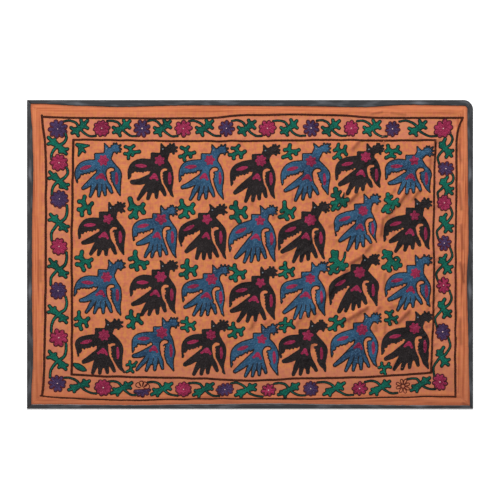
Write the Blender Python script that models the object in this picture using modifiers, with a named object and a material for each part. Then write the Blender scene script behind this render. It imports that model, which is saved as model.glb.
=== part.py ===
"""Suzani rug: one embroidered ground cloth with a satin binding folded over its four edges.

Metres, +Z up. The rug lies on z = 0 with its length along X and its width along Y,
and the origin is under its middle.
"""
import math
from collections import namedtuple

import bpy
import numpy as np

# Driving dimensions
RUG_LENGTH = 2.100
RUG_WIDTH = 1.454
CLOTH_THICKNESS = 0.0018
TAPE_THICKNESS = 0.0007
GAP = 0.0003
ROUND_CORNER = 0.045        # radius of the corner at +X +Y
UNDER_LEAF = 0.014          # how far the binding reaches in under the cloth
LEVEL_RIM = 0.048           # rim of the cloth that stays level between the binding's leaves
RIM_SLOPE = 0.050           # length over which the cloth comes down from that rim to the floor
MITRE_GAP = 0.0006          # each strip stops this short of the mitre line, along its side

# Divisions of the meshes
OPEN_COLUMNS = 15           # of the cloth left of its creases
CREASED_COLUMNS = 34
CREASES_START = 0.20        # x where the creased part begins
CLOTH_ROWS = 56
LONG_CELLS = 36             # of a long binding strip
SHORT_CELLS = 25
CORNER_CELLS = 5            # of a strip round its half of the rounded corner
FOLD_CELLS = 4              # of the binding's fold round the cloth's edge

HALF_LENGTH = RUG_LENGTH / 2
HALF_WIDTH = RUG_WIDTH / 2
RIM_HEIGHT = TAPE_THICKNESS + GAP              # cloth's underside over the binding's lower leaf
TAPE_LOW = TAPE_THICKNESS / 2                  # middle of the lower leaf
TAPE_HIGH = RIM_HEIGHT + CLOTH_THICKNESS + GAP + TAPE_THICKNESS / 2
FOLD_RADIUS = (TAPE_HIGH - TAPE_LOW) / 2
EDGE_INSET = 0.0017                            # cloth's cut edge, clear of the fold's hollow

# Soft creases of the laid cloth: a line, how far it spreads to each side, and its height
Crease = namedtuple("Crease", "x0 y0 x1 y1 spread rise")
CREASES = (
    Crease(0.235, -0.325, 0.440, -0.090, 0.050, 0.0032),
    Crease(0.450, -0.070, 0.560, 0.065, 0.048, 0.0036),
    Crease(0.590, 0.100, 0.745, 0.300, 0.050, 0.0038),
    Crease(0.452, 0.245, 0.530, 0.315, 0.045, 0.0030),
    Crease(0.480, -0.305, 0.530, -0.240, 0.045, 0.0026),
    Crease(0.715, -0.345, 0.740, -0.250, 0.045, 0.0028),
    Crease(0.478, 0.505, 0.540, 0.560, 0.048, 0.0024),
)

# Width of the binding's upper leaf at places along each side
Station = namedtuple("Station", "along width")
TOP_WIDTHS = (
    Station(-1.00, 0.018), Station(-0.80, 0.028), Station(-0.64, 0.033), Station(-0.30, 0.026),
    Station(0.20, 0.029), Station(0.52, 0.034), Station(0.75, 0.023), Station(1.00, 0.027),
)
BOTTOM_WIDTHS = (
    Station(-1.00, 0.021), Station(-0.55, 0.018), Station(-0.20, 0.022), Station(0.10, 0.025),
    Station(0.45, 0.021), Station(0.72, 0.017), Station(1.00, 0.016),
)
LEFT_WIDTHS = (
    Station(-0.67, 0.021), Station(-0.50, 0.029), Station(-0.20, 0.024), Station(0.10, 0.024),
    Station(0.42, 0.030), Station(0.58, 0.026), Station(0.69, 0.018),
)
RIGHT_WIDTHS = (
    Station(-0.69, 0.016), Station(-0.50, 0.021), Station(-0.12, 0.029), Station(0.05, 0.021),
    Station(0.35, 0.024), Station(0.66, 0.027),
)


def smooth_step(value):
    value = min(max(value, 0.0), 1.0)
    return value * value * (3.0 - 2.0 * value)


def crease_rise(x, y):
    """Height that the creases add: a soft ridge along each line, rounded off at its ends."""
    rise = 0.0
    for crease in CREASES:
        run_x, run_y = crease.x1 - crease.x0, crease.y1 - crease.y0
        part = ((x - crease.x0) * run_x + (y - crease.y0) * run_y) / (run_x ** 2 + run_y ** 2)
        part = min(max(part, 0.0), 1.0)
        away = math.hypot(x - crease.x0 - part * run_x, y - crease.y0 - part * run_y)
        rise = max(rise, crease.rise * smooth_step(1.0 - away / crease.spread))
    return rise


def underside(x, y):
    """Height of the cloth's underside: on the floor, but over the binding's lower leaf at the rim."""
    inward = min(HALF_LENGTH - abs(x), HALF_WIDTH - abs(y))
    rim = RIM_HEIGHT * (1.0 - smooth_step((inward - LEVEL_RIM) / RIM_SLOPE))
    loose = smooth_step((inward - LEVEL_RIM) / RIM_SLOPE)
    return rim + loose * crease_rise(x, y)


def finish(name, color, roughness):
    material = bpy.data.materials.new(name)
    material.use_nodes = True
    shader = material.node_tree.nodes["Principled BSDF"]
    shader.inputs["Base Color"].default_value = (*color, 1.0)
    shader.inputs["Roughness"].default_value = roughness
    shader.inputs["Metallic"].default_value = 0.0
    return material


def grid_object(name, columns, rows, material, collection):
    """A flat grid of columns by rows cells, from -1 to 1 both ways."""
    bpy.ops.mesh.primitive_grid_add(x_subdivisions=columns, y_subdivisions=rows, size=2.0)
    sheet = bpy.context.object
    sheet.name = name
    sheet.data.name = name
    sheet.data.materials.append(material)
    for owner in list(sheet.users_collection):
        owner.objects.unlink(sheet)
    collection.objects.link(sheet)
    return sheet


def thicken(sheet, thickness, offset):
    """Offset 1 grows the sheet up from its points, and 0 grows it to both sides alike."""
    solid = sheet.modifiers.new("Thickness", "SOLIDIFY")
    solid.thickness = thickness
    solid.offset = offset
    solid.use_even_offset = True


def cloth_lines():
    """Places of the cloth's grid lines along X and along Y. The level rim is one cell wide."""
    inner_x, inner_y = HALF_LENGTH - LEVEL_RIM, HALF_WIDTH - LEVEL_RIM
    edge_x, edge_y = HALF_LENGTH - EDGE_INSET, HALF_WIDTH - EDGE_INSET
    open_part = np.linspace(-inner_x, CREASES_START, OPEN_COLUMNS + 1)
    creased_part = np.linspace(CREASES_START, inner_x, CREASED_COLUMNS + 1)[1:]
    along_x = np.concatenate(([-edge_x], open_part, creased_part, [edge_x]))
    along_y = np.concatenate(([-edge_y], np.linspace(-inner_y, inner_y, CLOTH_ROWS + 1), [edge_y]))
    return along_x, along_y


def ground_cloth(collection):
    along_x, along_y = cloth_lines()
    orange = finish("orange_ground", (0.62, 0.20, 0.085), 0.75)
    cloth = grid_object("ground_cloth", len(along_x) - 1, len(along_y) - 1, orange, collection)
    for vertex in cloth.data.vertices:
        column = round((vertex.co.x + 1.0) / 2.0 * (len(along_x) - 1))
        row = round((vertex.co.y + 1.0) / 2.0 * (len(along_y) - 1))
        x, y = along_x[column], along_y[row]
        vertex.co = (x, y, underside(x, y))
    corner = max(cloth.data.vertices, key=lambda vertex: vertex.co.x + vertex.co.y)
    group = cloth.vertex_groups.new(name="rounded_corner")
    group.add([corner.index], 1.0, "REPLACE")
    rounding = cloth.modifiers.new("Rounded corner", "BEVEL")
    rounding.affect = "VERTICES"
    rounding.limit_method = "VGROUP"
    rounding.vertex_group = group.name
    rounding.width = ROUND_CORNER - EDGE_INSET
    rounding.segments = 2 * CORNER_CELLS
    thicken(cloth, CLOTH_THICKNESS, 1.0)


def leaf_width(widths, along):
    """Width of the upper leaf, eased from each station to the next."""
    if along <= widths[0].along:
        return widths[0].width
    for near, far in zip(widths, widths[1:]):
        if along <= far.along:
            share = smooth_step((along - near.along) / (far.along - near.along))
            return near.width + share * (far.width - near.width)
    return widths[-1].width


def fold_section():
    """Middle line of the folded strip across its width: inward distance and height, from under the
    cloth round its edge. The last point stands for the upper leaf's inner edge."""
    centre = TAPE_THICKNESS / 2 + FOLD_RADIUS
    section = [(UNDER_LEAF, TAPE_LOW)]
    for step in range(FOLD_CELLS + 1):
        angle = math.pi * step / FOLD_CELLS
        inward = centre - FOLD_RADIUS * math.sin(angle)
        section.append((inward, TAPE_LOW + FOLD_RADIUS * (1.0 - math.cos(angle))))
    section.append((None, TAPE_HIGH))
    return section


def run_point(step, cells, half_run, half_out, rounded, inward):
    """Place along the side and out from the middle, for one step of the strip at an inward distance.
    A rounded strip ends half way round the corner, and the others end at a mitre."""
    start = -half_run + inward + MITRE_GAP
    if not rounded:
        end = half_run - inward - MITRE_GAP
        return start + (end - start) * step / cells, half_out - inward
    straight_cells = cells - CORNER_CELLS
    turn_starts = half_run - ROUND_CORNER
    if step <= straight_cells:
        return start + (turn_starts - start) * step / straight_cells, half_out - inward
    radius = ROUND_CORNER - inward
    half_turn = math.pi / 4 - math.asin(MITRE_GAP / 2 / radius)
    angle = half_turn * (step - straight_cells) / CORNER_CELLS
    return turn_starts + radius * math.sin(angle), half_out - ROUND_CORNER + radius * math.cos(angle)


def binding_strip(name, cells, half_run, half_out, widths, rounded, put, material, collection):
    """One satin strip folded over an edge. put(along, out) gives the place on the rug."""
    section = fold_section()
    strip = grid_object(name, cells, len(section) - 1, material, collection)
    for vertex in strip.data.vertices:
        step = round((vertex.co.x + 1.0) / 2.0 * cells)
        inward, height = section[round((vertex.co.y + 1.0) / 2.0 * (len(section) - 1))]
        if inward is None:
            middle, _ = run_point(step, cells, half_run, half_out, rounded, UNDER_LEAF)
            inward = leaf_width(widths, middle)
        vertex.co = (*put(*run_point(step, cells, half_run, half_out, rounded, inward)), height)
    thicken(strip, TAPE_THICKNESS, 0.0)


def binding(collection):
    satin = finish("grey_satin", (0.055, 0.06, 0.068), 0.42)
    long_side = (HALF_LENGTH, HALF_WIDTH)
    short_side = (HALF_WIDTH, HALF_LENGTH)
    binding_strip("binding_top", LONG_CELLS + CORNER_CELLS, *long_side, TOP_WIDTHS, True,
                  lambda along, out: (along, out), satin, collection)
    binding_strip("binding_bottom", LONG_CELLS, *long_side, BOTTOM_WIDTHS, False,
                  lambda along, out: (along, -out), satin, collection)
    binding_strip("binding_left", SHORT_CELLS, *short_side, LEFT_WIDTHS, False,
                  lambda along, out: (-out, along), satin, collection)
    binding_strip("binding_right", SHORT_CELLS + CORNER_CELLS, *short_side, RIGHT_WIDTHS, True,
                  lambda along, out: (out, along), satin, collection)


def main():
    for old in list(bpy.data.objects):
        bpy.data.objects.remove(old, do_unlink=True)
    collection = bpy.data.collections.new("suzani_rug")
    bpy.context.scene.collection.children.link(collection)
    ground_cloth(collection)
    binding(collection)


main()
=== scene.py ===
# Suzani rug: an orange handloom ground, four rows of chain-stitched birds inside a border of
# flowers on a vine, and a dark satin binding. Metres, but motifs are drawn in millimetres.
import math

import bpy
import numpy as np
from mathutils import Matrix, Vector, geometry


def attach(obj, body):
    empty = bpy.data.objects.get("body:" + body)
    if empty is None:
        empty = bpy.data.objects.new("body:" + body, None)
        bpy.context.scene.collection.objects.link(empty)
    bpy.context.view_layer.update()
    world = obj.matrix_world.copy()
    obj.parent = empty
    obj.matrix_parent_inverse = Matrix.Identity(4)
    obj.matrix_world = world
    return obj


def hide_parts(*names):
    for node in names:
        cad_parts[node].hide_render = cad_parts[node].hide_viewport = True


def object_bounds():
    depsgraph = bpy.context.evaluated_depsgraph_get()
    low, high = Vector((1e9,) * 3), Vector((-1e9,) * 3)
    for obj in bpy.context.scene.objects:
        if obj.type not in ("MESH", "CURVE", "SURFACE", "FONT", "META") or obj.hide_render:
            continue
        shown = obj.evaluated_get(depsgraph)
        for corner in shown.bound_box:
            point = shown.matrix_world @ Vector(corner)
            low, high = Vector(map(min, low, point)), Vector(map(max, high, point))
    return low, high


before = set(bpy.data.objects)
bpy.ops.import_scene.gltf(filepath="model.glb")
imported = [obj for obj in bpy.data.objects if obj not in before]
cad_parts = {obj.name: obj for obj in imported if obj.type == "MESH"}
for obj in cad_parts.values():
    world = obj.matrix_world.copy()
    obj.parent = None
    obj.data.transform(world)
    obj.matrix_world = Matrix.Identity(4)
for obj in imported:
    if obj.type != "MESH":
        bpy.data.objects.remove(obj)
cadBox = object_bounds()
print("frame loaded:", sorted(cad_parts))

millimetre = 0.001


# Shared helpers

def hexColor(text):
    channels = [int(text[place:place + 2], 16) / 255 for place in (1, 3, 5)]
    linear = [c / 12.92 if c <= 0.04045 else ((c + 0.055) / 1.055) ** 2.4 for c in channels]
    return (*linear, 1.0)


def addNode(tree, kind, settings={}, inputs={}):
    node = tree.nodes.new(kind)
    for name, value in settings.items():
        setattr(node, name, value)
    for name, value in inputs.items():
        if isinstance(value, bpy.types.NodeSocket):
            tree.links.new(value, node.inputs[name])
        else:
            node.inputs[name].default_value = value
    return node


def newMaterial(name, finish):
    material = bpy.data.materials.new(name)
    material.use_nodes = True
    shader = material.node_tree.nodes["Principled BSDF"]
    for socket, value in finish.items():
        shader.inputs[socket].default_value = value
    return material, material.node_tree, shader


def smoothStep(value):
    value = np.clip(value, 0.0, 1.0)
    return value * value * (3.0 - 2.0 * value)


def readPoints(mesh):
    flat = np.empty(len(mesh.vertices) * 3)
    mesh.vertices.foreach_get("co", flat)
    return flat.reshape(-1, 3)


def writePoints(mesh, points):
    mesh.vertices.foreach_set("co", np.asarray(points, dtype=float).ravel())
    mesh.update()


def storeOnPoints(mesh, name, values):
    mesh.attributes.new(name, "FLOAT", "POINT").data.foreach_set("value", values)


def newObject(name, mesh):
    obj = bpy.data.objects.new(name, mesh)
    bpy.context.scene.collection.objects.link(obj)
    return obj


def gridObject(name, columns, rows):  # flat grid from -1 to 1 both ways
    bpy.ops.mesh.primitive_grid_add(x_subdivisions=columns, y_subdivisions=rows, size=2.0)
    obj = bpy.context.object
    obj.name = obj.data.name = name
    return obj


def bakeModifiers(obj):
    graph = bpy.context.evaluated_depsgraph_get()
    mesh = bpy.data.meshes.new_from_object(
        obj.evaluated_get(graph), preserve_all_data_layers=True, depsgraph=graph)
    old = obj.data
    obj.modifiers.clear()
    obj.data = mesh
    bpy.data.meshes.remove(old)
    mesh.name = obj.name


def mapFromAbove(mesh):  # what the surfaces show depends on x and y alone, so one flat map holds it
    points = readPoints(mesh)
    low, high = points.min(0), points.max(0)
    corners = np.empty(len(mesh.loops), dtype=int)
    mesh.loops.foreach_get("vertex_index", corners)
    spread = ((points - low) / (high - low))[corners, :2]
    mesh.uv_layers.new(name="OFBake").data.foreach_set("uv", spread.ravel())


# The laid cloth: its size, its rim over the binding's lower leaf, and its creases

cloth = {
    "halfLength": round(cadBox[1][0], 3),      # to the millimetre
    "halfWidth": round(cadBox[1][1], 3),
    "thickness": 0.0018,
    "cornerRadius": 0.045,
    "rimHeight": 0.0010,
    "levelRim": 0.048,
    "rimSlope": 0.050,
    "slackFrom": 0.002,       # small ripples begin this far inside the binding
    "slackWidth": 0.022,
    # the sheet's grid: cells up to each place, closer in the margins and among the creases
    "columns": ((0, -1.0483), (16, -0.96), (108, 0.20), (206, 0.80), (226, 0.96), (242, 1.0483)),
    "rows": ((0, -0.7253), (14, -0.655), (156, 0.655), (170, 0.7253)),
    "rippleSeed": 5,
    "ripples": 16,
    "rippleRise": 0.00042,
    "rippleSpread": 2.8,      # of the sum of so many waves
    "rippleLength": (0.055, 0.20),
    "rippleLevel": 0.9,       # raises the sum, so that most of each wave shows
    "rippleStrength": (0.55, 0.75),    # at the left, and added towards the right
    "rippleGrowth": (0.05, 0.75),      # where that begins, and over how far
    "tuckSeed": 12,
    "tucks": 38,              # on each side's margin
    "tuckEnds": (0.03, 0.24),          # how near to a side's two ends a tuck may start
    "tuckInward": (0.034, 0.076),
    "tuckDrift": 0.07,
    "tuckSpread": (0.007, 0.012),
    "tuckRise": (0.0007, 0.0016),
    "tuckLength": (0.06, 0.24),
    "tuckStrength": {"bottom": 1.0, "top": 0.3, "left": 1.3, "right": 1.9},
    "streaks": {"bottom": 0.5, "top": 0.4, "left": 0.7, "right": 1.0},    # how strongly each margin shows
    "foldSeed": 8,
    "folds": 110,             # small ones, most of them among the creases
    "foldsEnd": (0.86, 0.56),          # none is further to the right, or up or down
    "foldHeading": (0.85, 0.45),       # usual heading in radians, and how it varies
    "foldLength": (0.016, 0.055),
    "foldSpread": (0.008, 0.013),
    "foldRise": (0.0009, 0.0027),
    "wrinkleHeight": 1.3,     # times the rises listed below
    "creaseDarkHeight": 0.0040,   # soil and painted shade: a fold this high is darkened through
}

# x0, y0, x1, y1, spread to each side, rise
creases = (
    (0.235, -0.325, 0.440, -0.090, 0.050, 0.0032),
    (0.450, -0.070, 0.560, 0.065, 0.048, 0.0036),
    (0.590, 0.100, 0.745, 0.300, 0.050, 0.0038),
    (0.452, 0.245, 0.530, 0.315, 0.045, 0.0030),
    (0.480, -0.305, 0.530, -0.240, 0.045, 0.0026),
    (0.715, -0.345, 0.740, -0.250, 0.045, 0.0028),
    (0.478, 0.505, 0.540, 0.560, 0.048, 0.0024),
)
wrinkles = (
    (0.221, -0.323, 0.377, -0.177, 0.015, 0.0021),
    (0.377, -0.177, 0.457, -0.073, 0.014, 0.0025),
    (0.474, -0.042, 0.532, -0.008, 0.013, 0.0033),
    (0.545, 0.014, 0.572, 0.046, 0.012, 0.0027),
    (0.618, 0.094, 0.626, 0.168, 0.013, 0.0032),
    (0.640, 0.176, 0.700, 0.240, 0.014, 0.0027),
    (0.704, 0.242, 0.742, 0.298, 0.013, 0.0040),
    (0.768, 0.262, 0.796, 0.300, 0.012, 0.0030),
    (0.470, 0.250, 0.506, 0.288, 0.013, 0.0037),
    (0.440, 0.272, 0.470, 0.294, 0.012, 0.0024),
    (0.462, -0.306, 0.552, -0.252, 0.014, 0.0040),
    (0.428, -0.326, 0.448, -0.312, 0.012, 0.0027),
    (0.700, -0.318, 0.748, -0.268, 0.014, 0.0040),
    (0.668, -0.322, 0.684, -0.296, 0.012, 0.0027),
    (0.631, -0.160, 0.635, -0.092, 0.011, 0.0022),
    (0.634, -0.372, 0.636, -0.322, 0.011, 0.0022),
    (0.486, 0.500, 0.516, 0.535, 0.013, 0.0026),
    (0.846, 0.408, 0.852, 0.446, 0.012, 0.0025),
    (0.284, 0.062, 0.318, 0.098, 0.013, 0.0018),
    (0.352, 0.208, 0.390, 0.240, 0.013, 0.0017),
    (0.272, -0.452, 0.300, -0.420, 0.013, 0.0018),
    (0.010, 0.232, 0.014, 0.262, 0.013, 0.0018),
    (0.008, -0.345, 0.012, -0.310, 0.013, 0.0018),
    (-0.552, 0.330, -0.520, 0.352, 0.014, 0.0015),
    (-0.296, -0.232, -0.262, -0.206, 0.014, 0.0015),
    (0.868, 0.520, 0.892, 0.545, 0.013, 0.0020),
    (0.990, -0.040, 1.006, -0.132, 0.011, 0.0032),
    (1.008, -0.048, 1.010, -0.096, 0.009, 0.0024),
    (0.985, 0.330, 0.994, 0.214, 0.010, 0.0025),
    (0.992, 0.140, 1.002, 0.030, 0.010, 0.0023),
    (0.988, -0.300, 0.992, -0.420, 0.011, 0.0022),
    (0.980, 0.520, 0.992, 0.440, 0.010, 0.0023),
    (1.002, -0.700, 1.026, -0.710, 0.010, 0.0024),
    (0.572, 0.662, 0.622, 0.672, 0.009, 0.0018),
    (0.668, 0.668, 0.730, 0.660, 0.010, 0.0016),
    (-0.985, -0.125, -0.990, -0.030, 0.012, 0.0018),
)


def lineRise(x, y, lines):
    rise = np.zeros_like(x)
    for x0, y0, x1, y1, spread, height in lines:
        runX, runY = x1 - x0, y1 - y0
        close = ((x > min(x0, x1) - spread) & (x < max(x0, x1) + spread)
                 & (y > min(y0, y1) - spread) & (y < max(y0, y1) + spread))
        nearX, nearY = x[close] - x0, y[close] - y0
        part = np.clip((nearX * runX + nearY * runY) / (runX ** 2 + runY ** 2), 0.0, 1.0)
        away = np.hypot(nearX - part * runX, nearY - part * runY)
        rise[close] = np.maximum(rise[close], height * smoothStep(1.0 - away / spread))
    return rise


def marginTucks():  # short soft folds that lie nearly along each side, between binding and border
    rng = np.random.default_rng(cloth["tuckSeed"])
    lines = []
    for side, strength in cloth["tuckStrength"].items():
        upright = side in ("left", "right")
        sign = 1 if side in ("top", "right") else -1
        halfRun, halfOut = cloth["halfLength"], cloth["halfWidth"]
        if upright:
            halfRun, halfOut = halfOut, halfRun
        for _ in range(cloth["tucks"]):
            start = rng.uniform(-halfRun + cloth["tuckEnds"][0], halfRun - cloth["tuckEnds"][1])
            length, inward = rng.uniform(*cloth["tuckLength"]), rng.uniform(*cloth["tuckInward"])
            drift = rng.normal(0, cloth["tuckDrift"]) * length
            ends = ((start, sign * (halfOut - inward)), (start + length, sign * (halfOut - inward - drift)))
            if upright:
                ends = [(out, along) for along, out in ends]
            rise = strength * rng.uniform(*cloth["tuckRise"])
            lines.append((*ends[0], *ends[1], rng.uniform(*cloth["tuckSpread"]), rise))
    return lines


def smallFolds():  # short ones from the lower left to the upper right, where the cloth was bunched
    rng = np.random.default_rng(cloth["foldSeed"])
    endX, endY = cloth["foldsEnd"]
    lines = []
    for _ in range(cloth["folds"]):
        x, y = endX - rng.random() ** 2, rng.uniform(-endY, endY)
        heading, length = rng.normal(*cloth["foldHeading"]), rng.uniform(*cloth["foldLength"])
        lines.append((x, y, x + length * math.cos(heading), y + length * math.sin(heading),
                      rng.uniform(*cloth["foldSpread"]), rng.uniform(*cloth["foldRise"])))
    return lines


tucks = marginTucks()
folds = smallFolds()


def ripple(x, y):  # low waves of the laid cloth, stronger towards the creased right side
    rng = np.random.default_rng(cloth["rippleSeed"])
    total = np.zeros_like(x)
    for _ in range(cloth["ripples"]):
        heading, length = rng.uniform(0, math.pi), rng.uniform(*cloth["rippleLength"])
        phase = rng.uniform(0, 2 * math.pi)
        total += np.sin((x * math.cos(heading) + y * math.sin(heading)) * 2 * math.pi / length + phase)
    usual, added = cloth["rippleStrength"]
    start, run = cloth["rippleGrowth"]
    strength = usual + added * smoothStep((x - start) / run)
    raised = np.maximum(total / cloth["rippleSpread"] + cloth["rippleLevel"], 0.0)
    return cloth["rippleRise"] * strength * raised


def inFromEdge(x, y):
    return np.minimum(cloth["halfLength"] - np.abs(x), cloth["halfWidth"] - np.abs(y))


def insideBinding(x, y):  # how far in from the binding's inner edge
    return np.minimum.reduce([
        cloth["halfWidth"] - y - leafWidth("top", x), cloth["halfWidth"] + y - leafWidth("bottom", x),
        cloth["halfLength"] + x - leafWidth("left", y), cloth["halfLength"] - x - leafWidth("right", y)])


def sharpFolds(x, y):
    return cloth["wrinkleHeight"] * lineRise(x, y, wrinkles) + lineRise(x, y, folds)


def clothTop(x, y):
    loose = smoothStep((inFromEdge(x, y) - cloth["levelRim"]) / cloth["rimSlope"])
    slack = smoothStep((insideBinding(x, y) - cloth["slackFrom"]) / cloth["slackWidth"])
    folded = sharpFolds(x, y) + lineRise(x, y, tucks)
    return (cloth["thickness"] + cloth["rimHeight"] * (1.0 - loose)
            + loose * lineRise(x, y, creases) + slack * (folded + ripple(x, y)))


# the cloth is pressed down under the embroidery, so that none shows through it at a fold's foot:
# size of a cell, how deep, and how far in from a motif's edge it starts, in mm
pressed = {"cell": 5.0, "depth": 0.9, "from": 5.0}
pressedCells = np.zeros((round(2000 * cloth["halfWidth"] / pressed["cell"]) + 1,
                         round(2000 * cloth["halfLength"] / pressed["cell"]) + 1))


def pressedCell(x, y):  # millimetres
    row = (y + 1000 * cloth["halfWidth"]) / pressed["cell"]
    column = (x + 1000 * cloth["halfLength"]) / pressed["cell"]
    return row.astype(int), column.astype(int)


def makeGround():
    columns, crossRows = np.array(cloth["columns"]).T, np.array(cloth["rows"]).T
    sheet = gridObject("orange_ground_sheet", round(columns[0, -1]), round(crossRows[0, -1]))
    points = readPoints(sheet.data)
    x = np.interp((points[:, 0] + 1) / 2 * columns[0, -1], *columns)
    y = np.interp((points[:, 1] + 1) / 2 * crossRows[0, -1], *crossRows)
    cornerX = cloth["halfLength"] - cloth["cornerRadius"]
    cornerY = cloth["halfWidth"] - cloth["cornerRadius"]
    outX, outY = x - cornerX, y - cornerY
    turned = (outX > 0) & (outY > 0)          # the square corner's cells drawn in to the round one
    shrink = np.ones_like(x)
    shrink[turned] = np.maximum(outX, outY)[turned] / np.hypot(outX, outY)[turned]
    x = np.where(turned, cornerX + outX * shrink, x)
    y = np.where(turned, cornerY + outY * shrink, y)
    sunk = pressedCells[pressedCell(x / millimetre, y / millimetre)] * pressed["depth"] * millimetre
    writePoints(sheet.data, np.column_stack((x, y, clothTop(x, y) - sunk)))
    inward = inFromEdge(x, y)
    longSide = cloth["halfWidth"] - np.abs(y) < cloth["halfLength"] - np.abs(x)
    storeOnPoints(sheet.data, "fromEdge", inward)
    storeOnPoints(sheet.data, "alongEdge", np.where(longSide, x + 5.0, y))    # 5 m on, for other streaks
    streaks = cloth["streaks"]
    storeOnPoints(sheet.data, "streaks", np.where(
        longSide, np.where(y > 0, streaks["top"], streaks["bottom"]),
        np.where(x > 0, streaks["right"], streaks["left"])))
    storeOnPoints(sheet.data, "fromBinding", insideBinding(x, y))
    # how dark the soil and painted shade along the sharp folds are, darker where a fold is higher
    storeOnPoints(sheet.data, "crease", np.clip(sharpFolds(x, y) / cloth["creaseDarkHeight"], 0.0, 1.0))
    body = sheet.modifiers.new("Cloth thickness", "SOLIDIFY")
    body.thickness = cloth["thickness"]
    body.offset = -1.0
    bakeModifiers(sheet)
    points = readPoints(sheet.data)
    points[:, 2] = np.maximum(points[:, 2], 0.0)      # thinner where it is pressed, not below the floor
    writePoints(sheet.data, points)
    mapFromAbove(sheet.data)
    sheet.data.shade_smooth()
    return sheet


# The satin binding: one strip folded over each edge

binding = {
    "tape": 0.0007,
    "cutWidth": 0.044,        # of the strip before it is folded
    "underLeaf": 0.014,
    "low": 0.00035,           # heights of the two leaves' middles
    "high": 0.00345,
    "mitreGap": 0.0006,
    "cell": 0.0095,
    "cornerCells": 12,
    "underSteps": (0.0, 0.004, 0.008),
    "foldSteps": 8,
    "leafSteps": 7,
    "edgeWaver": 0.0005,
    "edgeWaverLength": (0.018, 0.07),
    "pucker": 0.00022,
    "puckerLength": (0.016, 0.05),
    "puckerSlant": 0.6,
    "roll": 0.00025,          # beside the seam
    "rollAt": (0.84, 0.12),   # its middle and its spread, as shares of the leaf's width
    "edgeDip": 0.00012,       # of the leaf's turned-in inner edge
    "seed": 9,
    "hemIn": 0.0035,          # the seam's distance from the leaf's inner edge, and its height over the leaf
    "hemLift": 0.0001,
    "hemStitch": (0.28, 1.3),          # its width, and its length and spacing, over a chain stitch's
    "hemThread": {"deep": "#1d1e22", "main": "#2a2b30", "pale": "#4a4c52"},
}

# width of the upper leaf at places along each side
leafWidths = {
    "top": ((-1.00, 0.018), (-0.80, 0.028), (-0.64, 0.033), (-0.30, 0.026),
            (0.20, 0.029), (0.52, 0.034), (0.75, 0.023), (1.00, 0.027)),
    "bottom": ((-1.00, 0.021), (-0.55, 0.018), (-0.20, 0.022), (0.10, 0.025),
               (0.45, 0.021), (0.72, 0.017), (1.00, 0.016)),
    "left": ((-0.67, 0.021), (-0.50, 0.029), (-0.20, 0.024), (0.10, 0.024),
             (0.42, 0.030), (0.58, 0.026), (0.69, 0.018)),
    "right": ((-0.69, 0.016), (-0.50, 0.021), (-0.12, 0.029), (0.05, 0.021),
              (0.35, 0.024), (0.66, 0.027)),
}


def leafWidth(side, along):
    places, widths = np.array(leafWidths[side]).T
    near = np.clip(np.searchsorted(places, along) - 1, 0, len(places) - 2)
    share = smoothStep((along - places[near]) / (places[near + 1] - places[near]))
    return widths[near] + share * (widths[near + 1] - widths[near])


def waves(rng, along, lengths, count=6):
    total = np.zeros_like(along)
    for _ in range(count):
        total += np.sin(along * 2 * math.pi / rng.uniform(*lengths) + rng.uniform(0, 2 * math.pi))
    return total / math.sqrt(count)


def runPoint(step, cells, halfRun, halfOut, rounded, inward):
    start = -halfRun + inward + binding["mitreGap"]
    if not rounded:
        end = halfRun - inward - binding["mitreGap"]
        return start + (end - start) * step / cells, halfOut - inward
    straight = cells - binding["cornerCells"]
    radius = cloth["cornerRadius"] - inward
    halfTurn = math.pi / 4 - np.arcsin(binding["mitreGap"] / 2 / radius)
    angle = halfTurn * np.clip((step - straight) / binding["cornerCells"], 0.0, 1.0)
    turnStarts = halfRun - cloth["cornerRadius"]
    along = start + (turnStarts - start) * np.clip(step / straight, 0.0, 1.0)
    return along + radius * np.sin(angle), halfOut - cloth["cornerRadius"] + radius * np.cos(angle)


def foldedSection():  # inward distance, height, and how far across the upper leaf
    foldRadius = (binding["high"] - binding["low"]) / 2
    centre = binding["tape"] / 2 + foldRadius
    under = binding["underLeaf"]
    section = [(under - reach, binding["low"], 0.0) for reach in binding["underSteps"]]
    for step in range(binding["foldSteps"] + 1):
        angle = math.pi * step / binding["foldSteps"]
        height = binding["low"] + foldRadius * (1 - math.cos(angle))
        section.append((centre - foldRadius * math.sin(angle), height, 0.0))
    section += [(centre, binding["high"], (step + 1) / binding["leafSteps"])
                for step in range(binding["leafSteps"])]
    return np.array(section)


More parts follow.
